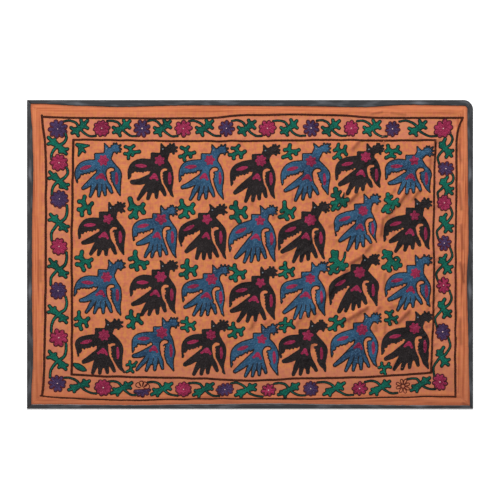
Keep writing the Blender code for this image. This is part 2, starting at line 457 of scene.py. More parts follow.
def makeBinding(side, halfRun, halfOut, rounded, put):
    cells = round(2 * halfRun / binding["cell"]) + (binding["cornerCells"] if rounded else 0)
    section = foldedSection()
    strip = gridObject("satin_" + side, cells, len(section) - 1)
    points = readPoints(strip.data)
    step = (points[:, 0] + 1) / 2 * cells
    inward, height, across = section[np.rint((points[:, 1] + 1) / 2 * (len(section) - 1)).astype(int)].T
    middle, _ = runPoint(step, cells, halfRun, halfOut, rounded, binding["underLeaf"])
    rng = np.random.default_rng(binding["seed"] + len(side))
    width = leafWidth(side, middle) + binding["edgeWaver"] * waves(rng, middle, binding["edgeWaverLength"])
    inward = inward + across * (width - inward)
    slanted = middle + binding["puckerSlant"] * inward
    pucker = waves(rng, slanted, binding["puckerLength"]) * np.sin(math.pi * across)
    rollMiddle, rollSpread = binding["rollAt"]
    rolled = (binding["roll"] * np.exp(-((across - rollMiddle) / rollSpread) ** 2)
              - binding["edgeDip"] * (across > 0.99))
    height = height + np.where(across > 0, binding["pucker"] * np.abs(pucker) + rolled, 0.0)
    along, out = runPoint(step, cells, halfRun, halfOut, rounded, inward)
    x, y = put(along, out)
    writePoints(strip.data, np.column_stack((x, y, height)))
    storeOnPoints(strip.data, "alongEdge", middle + halfOut * 3)     # so that the sides' streaks differ
    storeOnPoints(strip.data, "acrossLeaf", inward)
    tape = strip.modifiers.new("Tape thickness", "SOLIDIFY")
    tape.thickness = binding["tape"]
    tape.offset = 0.0
    bakeModifiers(strip)
    mapFromAbove(strip.data)
    strip.data.shade_smooth()
    step = np.arange(cells + 1)               # now along the seam that holds the upper leaf down
    middle, _ = runPoint(step, cells, halfRun, halfOut, rounded, binding["underLeaf"])
    inward = leafWidth(side, middle) - binding["hemIn"]
    seam = np.column_stack(put(*runPoint(step, cells, halfRun, halfOut, rounded, inward)))
    height = np.full((len(seam), 1), binding["high"] + binding["tape"] / 2 + binding["hemLift"])
    return strip, (np.hstack((seam, height)), linksAlong(seam))


# Drawing motifs: a motif is a union of circles along smooth strokes. The field of a union is
# how far a point lies in from its edge, so the rows of stitches are lines of equal field.

def stroke(*points, gap=2.5):
    points = np.array(points, dtype=float)
    ends = np.vstack((2 * points[0] - points[1], points, 2 * points[-1] - points[-2]))
    circles = [points[-1]]
    for a, b, c, d in zip(ends, ends[1:], ends[2:], ends[3:]):
        steps = max(2, round(np.hypot(*(c - b)[:2]) / gap))
        for t in np.arange(steps) / steps:
            circles.append(0.5 * (2 * b + (c - a) * t + (2 * a - 5 * b + 4 * c - d) * t ** 2
                                  + (3 * b - a - 3 * c + d) * t ** 3))
    return np.array(circles)


def linksAlong(line):
    return np.column_stack((np.arange(len(line) - 1), np.arange(1, len(line))))


def smoothLine(points, gap=2.5):  # the middle of a stroke, which has its last point first
    line = stroke(*[(*point, 0) for point in points], gap=gap)[:, :2]
    return np.vstack((line[1:], line[:1]))


def unionField(circles, x, y):
    field = np.full(x.shape, -1000.0)
    for centreX, centreY, radius in circles:
        np.maximum(field, radius - np.hypot(x - centreX, y - centreY), out=field)
    return field


def boxField(centre, half, turn, corner, x, y):
    cosine, sine = math.cos(turn), math.sin(turn)
    across = np.abs((x - centre[0]) * cosine + (y - centre[1]) * sine) - half[0] + corner
    up = np.abs((y - centre[1]) * cosine - (x - centre[0]) * sine) - half[1] + corner
    outside = np.hypot(np.maximum(across, 0), np.maximum(up, 0))
    return corner - outside - np.minimum(np.maximum(across, up), 0)


def gridAround(circles, margin=8.0, step=2.0):
    low = (circles[:, :2] - circles[:, 2:]).min(0) - margin
    high = (circles[:, :2] + circles[:, 2:]).max(0) + margin
    return np.meshgrid(np.arange(low[0], high[0], step), np.arange(low[1], high[1], step))


def levelLine(x, y, field, level):
    above = field > level
    sideways = above[:, :-1] != above[:, 1:]
    upward = above[:-1] != above[1:]
    acrossId = np.full(sideways.shape, -1)
    acrossId[sideways] = np.arange(sideways.sum())
    upId = np.full(upward.shape, -1)
    upId[upward] = np.arange(upward.sum()) + sideways.sum()

    def crossing(first, second, where):
        share = ((level - field[first]) / (field[second] - field[first] + 1e-12))[where]
        return np.column_stack([(grid[first][where] + share * (grid[second] - grid[first])[where])
                                for grid in (x, y)])

    whole = slice(None)
    points = np.vstack((
        crossing((whole, slice(None, -1)), (whole, slice(1, None)), sideways),
        crossing((slice(None, -1), whole), (slice(1, None), whole), upward)))
    sides = np.stack((acrossId[:-1], upId[:, 1:], acrossId[1:], upId[:, :-1]), axis=-1)
    crossed = (sides >= 0).sum(-1)
    pairs = sides[crossed == 2]
    edges = pairs[pairs >= 0].reshape(-1, 2)
    saddles = sides[crossed == 4].reshape(-1, 2)
    return points, np.vstack((edges, saddles))


# Sewing: what each motif adds to the rows and to the underlay of its thread

sewing = {
    "rowPitch": 3.7,          # real rows are about 1.5 mm apart; drawn this coarse to show from above
    "detailRow": 1.6,         # first row of a motif that has no outline, in from its edge
    "rowLift": 0.50,          # of the stitches' middles over the cloth
    "detailLift": 0.70,
    "featherLineLift": 0.80,
    "underlayIn": 0.9,
    "underlayLift": 0.30,
    "underlayThickness": 0.45,
    "underlayShadeTone": 0.3,      # painted shade between the stitches: darker than most stitches, which have from 0 to 1
    "underlayEvery": 4,       # a point at every fourth of the field's, so that it follows the folds
    "underlayEdgeEvery": 3,
}

# outlines: middle of the row, in from the motif's edge, and from there to the first row of its filling
outlines = {"black": (1.5, 5.0), "fine black": (1.2, 4.3), "petal line": (1.5, 4.5)}

rows = {}         # thread name: list of (points, edges)
underlays = {}    # thread name: list of (points, faces)
knots = {"flower": [], "eye": []}    # x, y, radius


def toRug(points, spot):
    turn = math.radians(spot[2])
    x = spot[0] + points[:, 0] * math.cos(turn) - points[:, 1] * math.sin(turn)
    y = spot[1] + points[:, 0] * math.sin(turn) + points[:, 1] * math.cos(turn)
    return np.column_stack((x, y))


def onCloth(points, lift):
    x, y = points[:, 0] * millimetre, points[:, 1] * millimetre
    return np.column_stack((x, y, clothTop(x, y) + lift * millimetre))


def addRows(thread, spot, x, y, field, levels, lift):
    for level in levels:
        points, edges = levelLine(x, y, field, level)
        if len(edges):
            rows.setdefault(thread, []).append((onCloth(toRug(points, spot), lift), edges))


def addUnderlay(thread, spot, x, y, field, lift):
    every, edgeEvery = sewing["underlayEvery"], sewing["underlayEdgeEvery"]
    coarse = [grid[::every, ::every] for grid in (x, y, field)]
    well = coarse[2] > 0.4 * every * (x[0, 1] - x[0, 0])       # not close beside the edge's own points
    inner = np.column_stack((coarse[0][well], coarse[1][well]))
    x, y, field = [grid[::edgeEvery, ::edgeEvery] for grid in (x, y, field)]
    edge, links = levelLine(x, y, field, sewing["underlayIn"])
    if len(links) < 3:
        return
    seeds = [Vector(point) for point in np.vstack((edge, inner)).tolist()]
    points, _, faces = geometry.delaunay_2d_cdt(seeds, links.tolist(), [], 0, 1e-3, False)[:3]
    points, faces = np.array([tuple(point) for point in points]), np.array(faces)
    middle = points[faces].mean(1)                # a triangle stays if its middle lies in the motif
    column = np.clip((middle[:, 0] - x[0, 0]) / (x[0, 1] - x[0, 0]), 0, x.shape[1] - 1.001)
    row = np.clip((middle[:, 1] - y[0, 0]) / (y[1, 0] - y[0, 0]), 0, x.shape[0] - 1.001)
    left, low = column.astype(int), row.astype(int)
    shareX, shareY = column - left, row - low
    depth = ((field[low, left] * (1 - shareX) + field[low, left + 1] * shareX) * (1 - shareY)
             + (field[low + 1, left] * (1 - shareX) + field[low + 1, left + 1] * shareX) * shareY)
    faces = faces[depth > sewing["underlayIn"] - 0.05]
    used, faces = np.unique(faces, return_inverse=True)
    points = onCloth(toRug(points[used], spot), lift)
    underlays.setdefault(thread, []).append((points, faces.reshape(-1, 3)))


def sew(thread, spot, x, y, field, outline=None, inner=None):
    edge, beside = outlines[outline] if outline else (sewing["detailRow"], 0.0)
    lift = sewing["rowLift"] if outline else sewing["detailLift"]
    fill = field if inner is None else inner
    if outline:
        addRows(outline, spot, x, y, field, [edge], lift)
    addRows(thread, spot, x, y, fill, np.arange(edge + beside, fill.max(), sewing["rowPitch"]), lift)
    addUnderlay(thread, spot, x, y, field, sewing["underlayLift"] + lift - sewing["rowLift"])
    covered = field > pressed["from"]
    pressedCells[pressedCell(*toRug(np.column_stack((x[covered], y[covered])), spot).T)] = 1.0


# The birds: one drawing, posed for each bird by where its wing, feathers and crest end

bird = {
    "seed": 21,
    "offset": (-1.5, -4.2),    # of a whole bird from the place read for its rosette, in mm
    "stray": 1.3,        # how far a drawn point strays
    "fatness": 0.04,
    "shoulder": (-40.0, -20.0, 25.0),
    "knuckles": ((0.30, 17), (0.52, 29), (0.75, 22)),    # share of the near wing's length, and rise over it
    "usualDrop": 172.0,  # of the tail's and the far wing's tips, under the rosette
    "farTips": (64.0, 15.0),   # where the narrowest far wing's tip is, and how much further the widest's
    "tailFeathers": 4,
    "joined": 24.0,      # radius of the fan in which the tail feathers are still one
    "teeth": (5, 7),     # of the crest, the last number left out
    "toothFan": (108, 176),    # where the first stands and how far round the rest go, in degrees
    "nickPitch": 14.5,   # of the nicks along the wing's lower edge
    "nick": 6.2,
    "farNickPitch": 14.0,
    "farNick": 5.4,
    "petals": (5, 8),    # of the rosette, the last number left out
    "rosette": (0.88, 1.10),   # how its size varies
    "slim": (0.85, 1.2),       # width of the slit between body and far wing
    "markFat": (6.4, 8.4),     # of the far wing's crimson mark
    "markSpread": (0.75, 1.3),       # of the arch over the tail
    "eye": 3.8,
}

# rosette; then, from the rosette, the tips of the near wing, the long feather, the first and the last
# tail feather and the far wing, and the middle of the crest, in mm
birdRows = (
    (((-689, 446), (-125, -106), (-103, -136), (-58, -173), (40, -156), (79, -167), (57, 57)),
     ((-424, 446), (-148, -87), (-139, -107), (-97, -187), (27, -166), (63, -173), (57, 56)),
     ((-188, 447), (-145, -102), (-137, -133), (-90, -189), (18, -173), (64, -185), (61, 50)),
     ((53, 445), (-141, -117), (-130, -156), (-70, -196), (22, -173), (63, -178), (63, 50)),
     ((289, 442), (-138, -112), (-129, -143), (-73, -189), (30, -158), (80, -159), (66, 61)),
     ((547, 463), (-141, -109), (-131, -135), (-87, -178), (27, -143), (66, -145), (56, 38)),
     ((775, 445), (-136, -89), (-125, -112), (-72, -158), (30, -143), (73, -152), (64, 44))),
    (((-667, 170), (-138, -93), (-125, -117), (-80, -169), (33, -165), (74, -169), (54, 55)),
     ((-417, 170), (-131, -102), (-119, -122), (-75, -182), (27, -169), (69, -182), (49, 40)),
     ((-201, 169), (-122, -126), (-105, -156), (-49, -189), (50, -178), (88, -187), (67, 46)),
     ((49, 162), (-144, -145), (-123, -178), (-73, -199), (22, -178), (70, -193), (54, 48)),
     ((285, 166), (-149, -141), (-140, -155), (-77, -201), (24, -178), (66, -186), (63, 61)),
     ((534, 209), (-130, -118), (-117, -146), (-71, -189), (38, -154), (61, -149), (56, 55)),
     ((777, 186), (-145, -121), (-122, -126), (-85, -172), (27, -143), (67, -158), (54, 58))),
    (((-674, -103), (-154, -89), (-130, -116), (-97, -170), (22, -167), (67, -182), (61, 57)),
     ((-419, -102), (-142, -89), (-139, -134), (-91, -183), (22, -165), (68, -173), (52, 53)),
     ((-179, -114), (-137, -105), (-133, -136), (-83, -172), (17, -163), (57, -173), (56, 44)),
     ((51, -130), (-146, -113), (-144, -138), (-104, -185), (18, -173), (66, -174), (52, 51)),
     ((285, -111), (-138, -116), (-131, -163), (-77, -192), (23, -169), (69, -175), (58, 54)),
     ((517, -81), (-138, -152), (-105, -189), (-66, -186), (32, -149), (81, -158), (67, 60)),
     ((781, -85), (-142, -109), (-133, -129), (-85, -178), (24, -146), (67, -158), (50, 62))),
    (((-686, -377), (-123, -99), (-104, -130), (-53, -182), (51, -172), (97, -178), (61, 52)),
     ((-413, -365), (-141, -93), (-142, -115), (-114, -179), (2, -173), (55, -182), (53, 47)),
     ((-182, -375), (-136, -107), (-131, -145), (-82, -190), (25, -173), (64, -185), (54, 44)),
     ((57, -396), (-146, -132), (-135, -157), (-78, -178), (23, -162), (75, -170), (50, 48)),
     ((273, -378), (-129, -105), (-121, -127), (-71, -189), (40, -169), (83, -172), (64, 47)),
     ((529, -351), (-145, -129), (-137, -172), (-74, -198), (32, -177), (69, -175), (63, 55)),
     ((777, -344), (-156, -123), (-145, -149), (-96, -198), (15, -178), (64, -192), (57, 54))),
)

# the far wing at its narrowest and widest: x, y, radius from the shoulder down
farWingNarrow = ((20, -8, 19), (33, -36, 23), (42, -62, 25), (42, -88, 27), (43, -114, 22), (50, -142, 12))
farWingWide = ((24, -8, 20), (44, -36, 24), (57, -63, 29), (60, -92, 26), (65, -124, 17), (72, -148, 9))


def drawBird(pose, rng):
    wingTip, featherTip, tailFirst, tailLast, farTip, crest = np.array(pose, dtype=float)

    def near(x, y, radius):
        stray = rng.normal(0, bird["stray"], 2)
        return x + stray[0], y + stray[1], radius * rng.uniform(1 - bird["fatness"], 1 + bird["fatness"])

    # the drawing's points are x, y and radius in mm, from the rosette
    # near wing: from the shoulder out over its knuckle and down to the tip
    shoulder = np.array(bird["shoulder"][:2])
    span = wingTip - shoulder
    outward = span / np.hypot(*span)
    above = np.array((outward[1], -outward[0]))
    knuckles = [shoulder + share * span + rise * above for share, rise in bird["knuckles"]]
    wing = stroke(bird["shoulder"], near(*knuckles[0], 33), near(*knuckles[1], 27), near(*knuckles[2], 14),
                  (*(wingTip - 3 * outward), 3.2))

    # body and tail
    sway = (tailFirst[0] + tailLast[0]) / 2
    drop = (tailFirst[1] + tailLast[1]) / 2 / -bird["usualDrop"]
    waist, rump = (0.5 * sway - 4, -70 * drop), (0.55 * sway, -94 * drop)
    parts = [wing, stroke((-6, -6, 32), (-8, -40, 26), (*waist, 27), (*rump, 29))]
    root = (waist[0] - 20, -80 * drop)                # of the long feather
    middle = (root[0] * 0.45 + featherTip[0] * 0.55, root[1] * 0.45 + featherTip[1] * 0.55 - 2)
    parts.append(stroke((*root, 19), near(*middle, 14.0), (featherTip[0] + 9, featherTip[1] + 6, 9)))
    feathers, lines = [], []
    for number in range(bird["tailFeathers"]):
        share = number / (bird["tailFeathers"] - 1)
        root = np.array((rump[0] - 26 + 44 * share, -98 * drop))
        droop = (rng.normal(0, 2), 6 - 5 * math.sin(math.pi * share))
        tip = tailFirst * (1 - share) + tailLast * share + droop
        feathers.append((root, near(*(0.52 * root + 0.48 * tip), 12.0), tip))
        parts.append(stroke((*root, 12), feathers[-1][1], (*(0.25 * root + 0.75 * tip), 9.4), (*tip, 7.4)))
    fan = (tailFirst + tailLast) / 2                 # where the feathers are still joined
    parts.append(stroke((*rump, 27), (*(0.60 * np.array(rump) + 0.40 * fan), bird["joined"])))
    for first, second in zip(feathers, feathers[1:]):                # a dark line from their roots
        beside = (np.array(first[1][:2]) + second[1][:2]) / 2
        lines.append(np.array([0.45 * (first[0] + second[0]) / 2 + 0.55 * beside, beside - (0, 8)]))

    # far wing, chest, neck and beak
    wide = np.clip((farTip[0] - bird["farTips"][0]) / bird["farTips"][1], -0.4, 1.2)
    farWing = np.array(farWingNarrow) * (1 - wide) + np.array(farWingWide) * wide
    farWing[3:, 1] *= farTip[1] / -bird["usualDrop"]
    farWing = stroke(*[near(*point) for point in farWing], (*(farTip + (0, 3)), 3.0))
    top = 0.6 * crest[1] + 2
    parts += [farWing, stroke((20, 14, 18.5), (crest[0] - 24, crest[1] - 9 + rng.normal(0, 1.5), 17.0)),
              stroke((14, top - 8, 13), (crest[0] - 41, crest[1] - 3, 12), (crest[0] - 45, crest[1] + 9, 8),
                     (crest[0] - 51 + rng.normal(0, 1.5), crest[1] + 23, 3.0))]
    teeth = rng.integers(*bird["teeth"])
    firstTooth, toothFan = bird["toothFan"]
    for number in range(teeth):
        angle = math.radians(firstTooth - toothFan * number / (teeth - 1) + rng.normal(0, 5))
        out = np.array((math.cos(angle), math.sin(angle)))
        reach = min(20 / abs(out[0]), 18 / abs(out[1])) + rng.uniform(3, 6)
        parts.append(stroke((*(crest + out * 12), 6.0), (*(crest + out * reach), 4.8)))
    boxes = (((-1.5, (top - 16) / 2), (40.5, (top + 16) / 2), rng.uniform(-3, 3)),
             (crest - (2, 1), (20.0, 18.0), rng.uniform(-9, 9)))

    # the slit between body and far wing, hooked at its top, and nicks along the wings' edges
    slitX = waist[0] + 30
    last = feathers[-1]
    slim = rng.uniform(*bird["slim"])
    slit = stroke((slitX + 23, -43, 6.6 * slim), (slitX + 11, -44, 8.2 * slim), (slitX + 1, -54, 7.2 * slim),
                  (slitX - 1, -70 * drop, 5.4 * slim), (rump[0] + 32, -98 * drop, 5.0 * slim),
                  (last[1][0] + 17, last[1][1], 5.4), (last[2][0] + 16.5, last[2][1], 8.5))
    nicks = []
    for x in np.arange(knuckles[2][0] + 4, -46, bird["nickPitch"]):
        under = wing[np.abs(x - wing[:, 0]) < wing[:, 2]]
        low = (under[:, 1] - np.sqrt(under[:, 2] ** 2 - (x - under[:, 0]) ** 2)).min()
        nicks.append((x + rng.normal(0, 1), low + 0.6, bird["nick"] * rng.uniform(0.85, 1.15)))
    for y in np.arange(-66, -116, -bird["farNickPitch"]):
        beside = farWing[np.abs(y - farWing[:, 1]) < farWing[:, 2]]
        inner = (beside[:, 0] - np.sqrt(beside[:, 2] ** 2 - (y - beside[:, 1]) ** 2)).min()
        nicks.append((max(inner, slitX + 4), y + rng.normal(0, 1), bird["farNick"] * rng.uniform(0.85, 1.15)))
    cut = np.vstack((slit, nicks))

    # crimson marks: an almond on each wing, an arch over the tail and the rosette
    tilt = math.atan2(-span[1], -span[0]) * 1.5 - 0.89
    heart = knuckles[0] + (-6, 0)
    almond = stroke(*[(heart[0] + d * math.cos(tilt), heart[1] + d * math.sin(tilt), r)
                      for d, r in ((-26, 2.6), (-12, 7.2), (0, 8.8), (12, 7.2), (26, 2.6))])
    fat = rng.uniform(*bird["markFat"])
    markX = 49 + 14 * wide
    farMark = stroke((markX - 1, -113, 2.5), (markX, -100, 0.85 * fat), (markX, -85, fat),
                     (markX - 1, -70, 0.85 * fat), (markX - 2, -57, 2.5))
    peak, spread = 0.6 * sway - 3, rng.uniform(*bird["markSpread"])
    arch = np.vstack((stroke((peak - 19 * spread, -85, 5), (peak - 9 * spread, -76, 6.5), (peak, -67, 6.5),
                             (peak + 7 * spread, -77, 6.5), (peak + 14 * spread, -91, 4.5)),
                      [(peak - 1, -76, rng.uniform(8, 12))]))
    size, petals = rng.uniform(*bird["rosette"]), rng.integers(*bird["petals"])
    rosette = [(0, 0, rng.uniform(13, 17) * size)]
    turn = rng.uniform(0, 1.2)
    for number in range(petals):
        angle = 2 * math.pi * (number + rng.uniform(-0.08, 0.08)) / petals + turn
        for reach, radius in ((14, 8.8), (20, 6.0)):
            rosette.append((reach * size * math.cos(angle), reach * size * math.sin(angle), radius * size))
    marks = np.vstack((almond, farMark, arch, rosette))
    return np.vstack(parts), boxes, cut, marks, lines


def sewBird(thread, spot, pose, rng):
    solid, boxes, cut, marks, lines = drawBird(pose, rng)
    x, y = gridAround(solid)
    field = unionField(solid, x, y)
    for centre, half, turn in boxes:
        field = np.maximum(field, boxField(centre, half, math.radians(turn), 5, x, y))
    field = np.minimum(field, -unionField(cut, x, y))
    marked = unionField(marks, x, y)
    sew(thread, spot, x, y, field, outline="black", inner=np.minimum(field, sewing["rowPitch"] - marked))
    sew("crimson", spot, x, y, marked)
    for line in lines:
        rows["black"].append((onCloth(toRug(line, spot), sewing["featherLineLift"]), linksAlong(line)))
    crest = pose[-1]
    knots["eye"].append((*toRug(np.array([[crest[0] - 42.0, crest[1] - 3.0]]), spot)[0], bird["eye"]))


# Green sprigs beside the birds: three leaves of two lobes each, posed by where the lobes end

sprig = {
    "seed": 33,
    "offset": (-0.7, -1.8),    # of a whole sprig from the place read for it, in mm
    "usualReach": 43.0,        # of its lobes, for the radii of its hub, leaves and lobes
    "hub": 9.5,
    "leaf": 12.2,
    "leafAt": 0.27,            # a leaf's middle, over the sum of its two lobes' ends
    "lobe": 9.2,
    "lobeVary": (0.93, 1.07),
    "stray": 1.2,
}

# place; then, from there, the ends of the lobes of the upper leaf, the right one and the lower one, in mm
sprigs = (
    ((-560, 487), (20, 30), (-33, 24), (48, 0), (5, -26), (-36, -10), (-12, -41)),
    ((-297, 480), (13, 33), (-33, 28), (44, 4), (20, -27), (-41, -19), (-9, -43)),
    ((-58, 484), (11, 36), (-33, 19), (42, 7), (16, -34), (-46, -14), (-18, -39)),
    ((192, 487), (-1, 38), (-36, 4), (47, 10), (30, -20), (-44, -31), (6, -39)),
    ((424, 487), (-5, 40), (-32, 0), (29, 31), (35, -22), (-35, -36), (7, -39)),
    ((670, 487), (-21, 35), (-36, -5), (31, 29), (45, -13), (-36, -34), (19, -29)),
    ((-775, 228), (0, 54), (-38, 23), (38, 21), (22, -41), (-40, -13), (-14, -51)),
    ((-533, 220), (-34, 54), (-38, -13), (37, 25), (39, -30), (-37, -48), (4, -53)),
    ((-299, 217), (-25, 47), (-39, -3), (38, 28), (38, -27), (-37, -43), (14, -46)),
    ((-57, 202), (-8, 54), (-41, 21), (41, 26), (43, -32), (-41, -27), (14, -55)),
    ((177, 206), (-14, 51), (-35, -8), (39, 18), (29, -37), (-45, -30), (5, -46)),
    ((420, 260), (-18, 60), (-40, 18), (49, 3), (30, -37), (-42, -16), (-33, -56)),
    ((661, 243), (-11, 51), (-30, 13), (39, 23), (46, -16), (-42, -42), (-10, -51)),
    ((-783, -28), (-5, 51), (-43, 13), (45, 11), (30, -37), (-41, -16), (6, -53)),
    ((-528, -32), (-10, 56), (-46, 9), (55, -2), (35, -39), (-41, -25), (0, -47)),
    ((-288, -69), (-4, 52), (-40, 12), (41, 19), (33, -34), (-47, -26), (-5, -48)),
    ((-58, -84), (-13, 43), (-45, 21), (43, 11), (30, -33), (-42, -27), (-6, -46)),
    ((173, -73), (-6, 43), (-37, 9), (37, 14), (32, -31), (-41, -25), (4, -39)),
    ((417, -38), (-27, 62), (-46, 8), (49, -10), (25, -39), (-44, -22), (-43, -57)),
    ((664, -28), (-39, 50), (5, 44), (55, -22), (24, -46), (-45, -36), (-3, -55)),
    ((-793, -310), (-11, 49), (-36, 4), (39, 16), (29, -34), (-35, -22), (3, -48)),
    ((-547, -306), (-11, 49), (-40, 9), (25, 32), (44, -22), (-33, -34), (3, -46)),
    ((-291, -328), (-4, 38), (-37, 12), (37, 14), (32, -29), (-37, -18), (3, -37)),
    ((-66, -355), (-12, 40), (-41, 7), (42, 14), (28, -30), (-39, -30), (4, -39)),
    ((173, -328), (-3, 35), (-38, 2), (24, 24), (40, -20), (-38, -17), (-8, -41)),
    ((409, -321), (2, 37), (-40, 16), (43, 23), (31, -21), (-42, -32), (-4, -40)),
    ((664, -295), (13, 34), (-30, 27), (34, 7), (30, -32), (-33, -13), (-2, -40)),
    ((-558, -524), (-6, 28), (-27, 3), (28, 23), (21, -4), (-27, -30), (13, -32)),
    ((634, -531), (-14, 28), (-32, -3), (22, 26), (35, -1), (-22, -26), (7, -38)),
)
# the four big ones have more lobes, drawn as strokes
moreLobes = {
    (420, 260): (((-10, 18, 9), (6, 37, 7)), ((12, -4, 6), (19, 14, 4), (24, 30, 2.5)),
                 ((-22, -32, 10), (-6, -43, 8)), ((-2, -42, 7), (9, -28, 5.5), (10, -12, 8))),
    (661, 243): (((-6, 24, 11), (5, 31, 9)), ((14, -8, 9), (13, -25, 7)), ((-20, -14, 9), (-31, -30, 9)),
                 ((-8, -44, 7), (5, -39, 5), (8, -27, 4.5), (1, -20, 4), (-6, -25, 3))),
    (417, -38): (((-14, 26, 14), (-8, 50, 10)), ((16, 0, 8), (27, 22, 6), (32, 48, 5)),
                 ((-26, -34, 11), (-8, -46, 8)), ((-3, -43, 7), (7, -28, 7), (6, -12, 10))),
    (664, -28): (((-26, 36, 13), (-8, 34, 13)), ((-18, 26, 9), (-38, 14, 7)),
                 ((28, -10, 10), (38, 4, 7.5), (28, 15, 7), (15, 10, 4), (14, 3, 3))),
}
# an arrowhead in one corner of the field and a single leaf in another
cornerLeaves = {
    (-794, 498): (((-20, 20, 7), (-2, 4, 13), (-13, -33, 4.5)), ((-20, 18, 8), (4, 12, 11), (36, 14, 4)),
                  ((-4, 4, 12), (18, -16, 5))),
    (-802, -531): (((-24, 12, 8), (-6, 3, 14), (14, -8, 12), (28, -14, 5)),),
}


def sewSprig(place, tips, rng):
    tips = np.array(tips, dtype=float)
    size = np.hypot(*tips.T).mean() / sprig["usualReach"]
    parts = [stroke(*points) for points in moreLobes.get(place, ())]
    for first, second in (tips[0:2], tips[2:4], tips[4:6]):
        body = (first + second) * sprig["leafAt"] + rng.normal(0, sprig["stray"], 2)
        parts.append(stroke((0, -1, sprig["hub"] * size), (*body, sprig["leaf"] * size)))
        for tip in (first, second):
            lobe = sprig["lobe"] * size * rng.uniform(*sprig["lobeVary"])
            end = tip - (tip - body) / np.hypot(*(tip - body)) * lobe
            parts.append(stroke((*body, sprig["leaf"] * 0.85 * size),
                                (*(0.45 * body + 0.55 * end), 0.95 * lobe), (*end, lobe)))
    sewStrokes((*np.add(place, sprig["offset"]), 0.0), parts)


def sewStrokes(spot, parts):
    circles = np.vstack(parts)
    x, y = gridAround(circles)
    sew("green", spot, x, y, unionField(circles, x, y), outline="fine black")


# The border: two dark lines, flowers between them, and a spray of vine and two leaves from each
# flower to the next

border = {
    "seed": 47,
    "pitch": 198.0,         # between flowers; a spray is stretched to the real gap
    "stray": 1.2,           # how far a drawn point strays, in mm
    "leaf": 17.0,           # radius of a leaf's middle
    "leafAt": 0.58,         # and how far out it is, over its three lobes' ends
    "lobe": 7.8,            # radius of the lobes' ends
    "spread": 1.06,         # of the lobes' ends from the vine
    "vine": {"top": 1.0, "right": 1.05, "left": 1.3, "bottom": 1.0},
    "vineEnd": {"top": (72, 35), "right": (77, 28), "left": (73, 35), "bottom": (72, 30)},
    "flatter": {"bottom": 0.85},     # height of a side's sprays, where it isn't the usual one
    "petals": (8, 11),      # of a flower, the last number left out
    "turn": 12.0,           # how far a flower may be turned, in degrees
    "halfMiddle": ((-16, -12, 17), (10, -12, 17)),    # what else is filled in of the half flower
    "knot": (2.5, 3.7),     # radius of a flower's knot
    "lineStep": 12.0,
    "wobble": 0.9,          # of the dark lines
    "wobbleLength": (90, 300),
}

# x, y, half width, half height and colour of the flowers, and how far round a long one is turned
topFlowers = (
    (-905, 590, 47, 46, "purple"), (-698, 593, 41, 40, "crimson"), (-508, 592, 42, 44, "purple"),
    (-314, 592, 44, 42, "crimson"), (-111, 593, 40, 40, "purple"), (82, 593, 43, 40, "crimson"),
    (288, 594, 40, 42, "purple"), (477, 593, 36, 40, "crimson"), (671, 590, 36, 40, "purple"),
    (910, 592, 52, 42, "crimson", 38))
rightFlowers = (
    (922, 403, 41, 35, "purple"), (915, 242, 35, 40, "crimson"), (915, 52, 34, 40, "purple"),
    (911, -146, 33, 41, "crimson"), (907, -365, 35, 43, "purple"), (894, -601, 37, 42, "crimson"))
leftFlowers = (
    (-899, 431, 45, 41, "crimson"), (-897, 260, 45, 44, "purple"), (-899, 37, 41, 42, "crimson"),
    (-903, -172, 41, 43, "purple"), (-900, -393, 46, 44, "crimson"), (-907, -608, 43, 41, "purple"))
bottomFlowers = (
    (-691, -628, 43, 40, "crimson"), (-508, -632, 44, 40, "half"), (-313, -636, 41, 36, "crimson"),
    (-118, -637, 44, 31, "purple"), (87, -640, 38, 31, "crimson"), (286, -633, 38, 37, "purple"),
    (516, -632, 40, 33, "crimson"), (720, -620, 36, 37, "outline"))

petalFatness = {"crimson": 0.28, "purple": 0.26, "half": 0.25, "outline": 0.17}

# where the three lobes of a spray's two leaves end, from the middle between two flowers, on each side
sprayLeaves = {
    "top": (((-44, 9), (-41, -22), (-5, -36)), ((4, 43), (40, 37), (40, -2))),
    "right": (((-47, 11), (-31, -21), (-7, -25)), ((8, 42), (39, 36), (45, 0))),
    "left": (((-37, -10), (-44, -46), (-8, -52)), ((17, 48), (42, 38), (32, 0))),
    "bottom": (((-46, -2), (-55, -27), (-22, -38)), ((9, 31), (45, 29), (41, -3))),
}

# from the middle row of each line to the rows beside it, then the points of the line
borderLines = (
    (2.4, ((-980, 654), (-951, 646), (-706, 642), (-235, 641), (0, 656), (377, 656), (612, 643),
           (1002, 643))),
    (2.7, ((1002, 643), (974, 557), (972, 350), (968, 21), (968, -215), (966, -560), (967, -669))),
    (0.9, ((967, -669), (753, -671), (377, -679), (0, -679), (-330, -681), (-589, -686), (-895, -674),
           (-986, -665))),
    (3.2, ((-978, -664), (-970, -560), (-963, -205), (-961, 162), (-960, 369), (-963, 492), (-980, 654))),
    (2.4, ((-832, 540), (-706, 539), (-377, 534), (0, 534), (377, 539), (612, 536), (873, 538))),
    (2.5, ((873, 538), (866, 256), (864, 21), (867, -97), (859, -403), (852, -554))),
    (2.5, ((852, -556), (706, -568), (471, -580), (235, -584), (0, -594), (-235, -584), (-471, -579),
           (-706, -573), (-839, -565))),
    (3.2, ((-839, -565), (-838, -215), (-840, 21), (-836, 256), (-832, 540))),
)


def petalCircles(across, up, fat, count, turn, rng):
    petals = []
    for number in range(count):
        angle = turn + 2 * math.pi * (number + rng.uniform(-0.1, 0.1)) / count
        reach = rng.uniform(0.95, 1.04)
        middle = reach * np.array((across * math.cos(angle), up * math.sin(angle)))
        # five circles from base to tip: share of the petal's length, and radius over its fattest
        petals.append(np.array([(*(share * middle), size * fat * (across + up) / 2)
                                for share, size in ((0.38, 0.7), (0.56, 0.9), (1 - 1.1 * fat, 1.0),
                                                    (1 - 0.8 * fat, 0.8), (1 - 0.5 * fat, 0.5))]))
    return petals


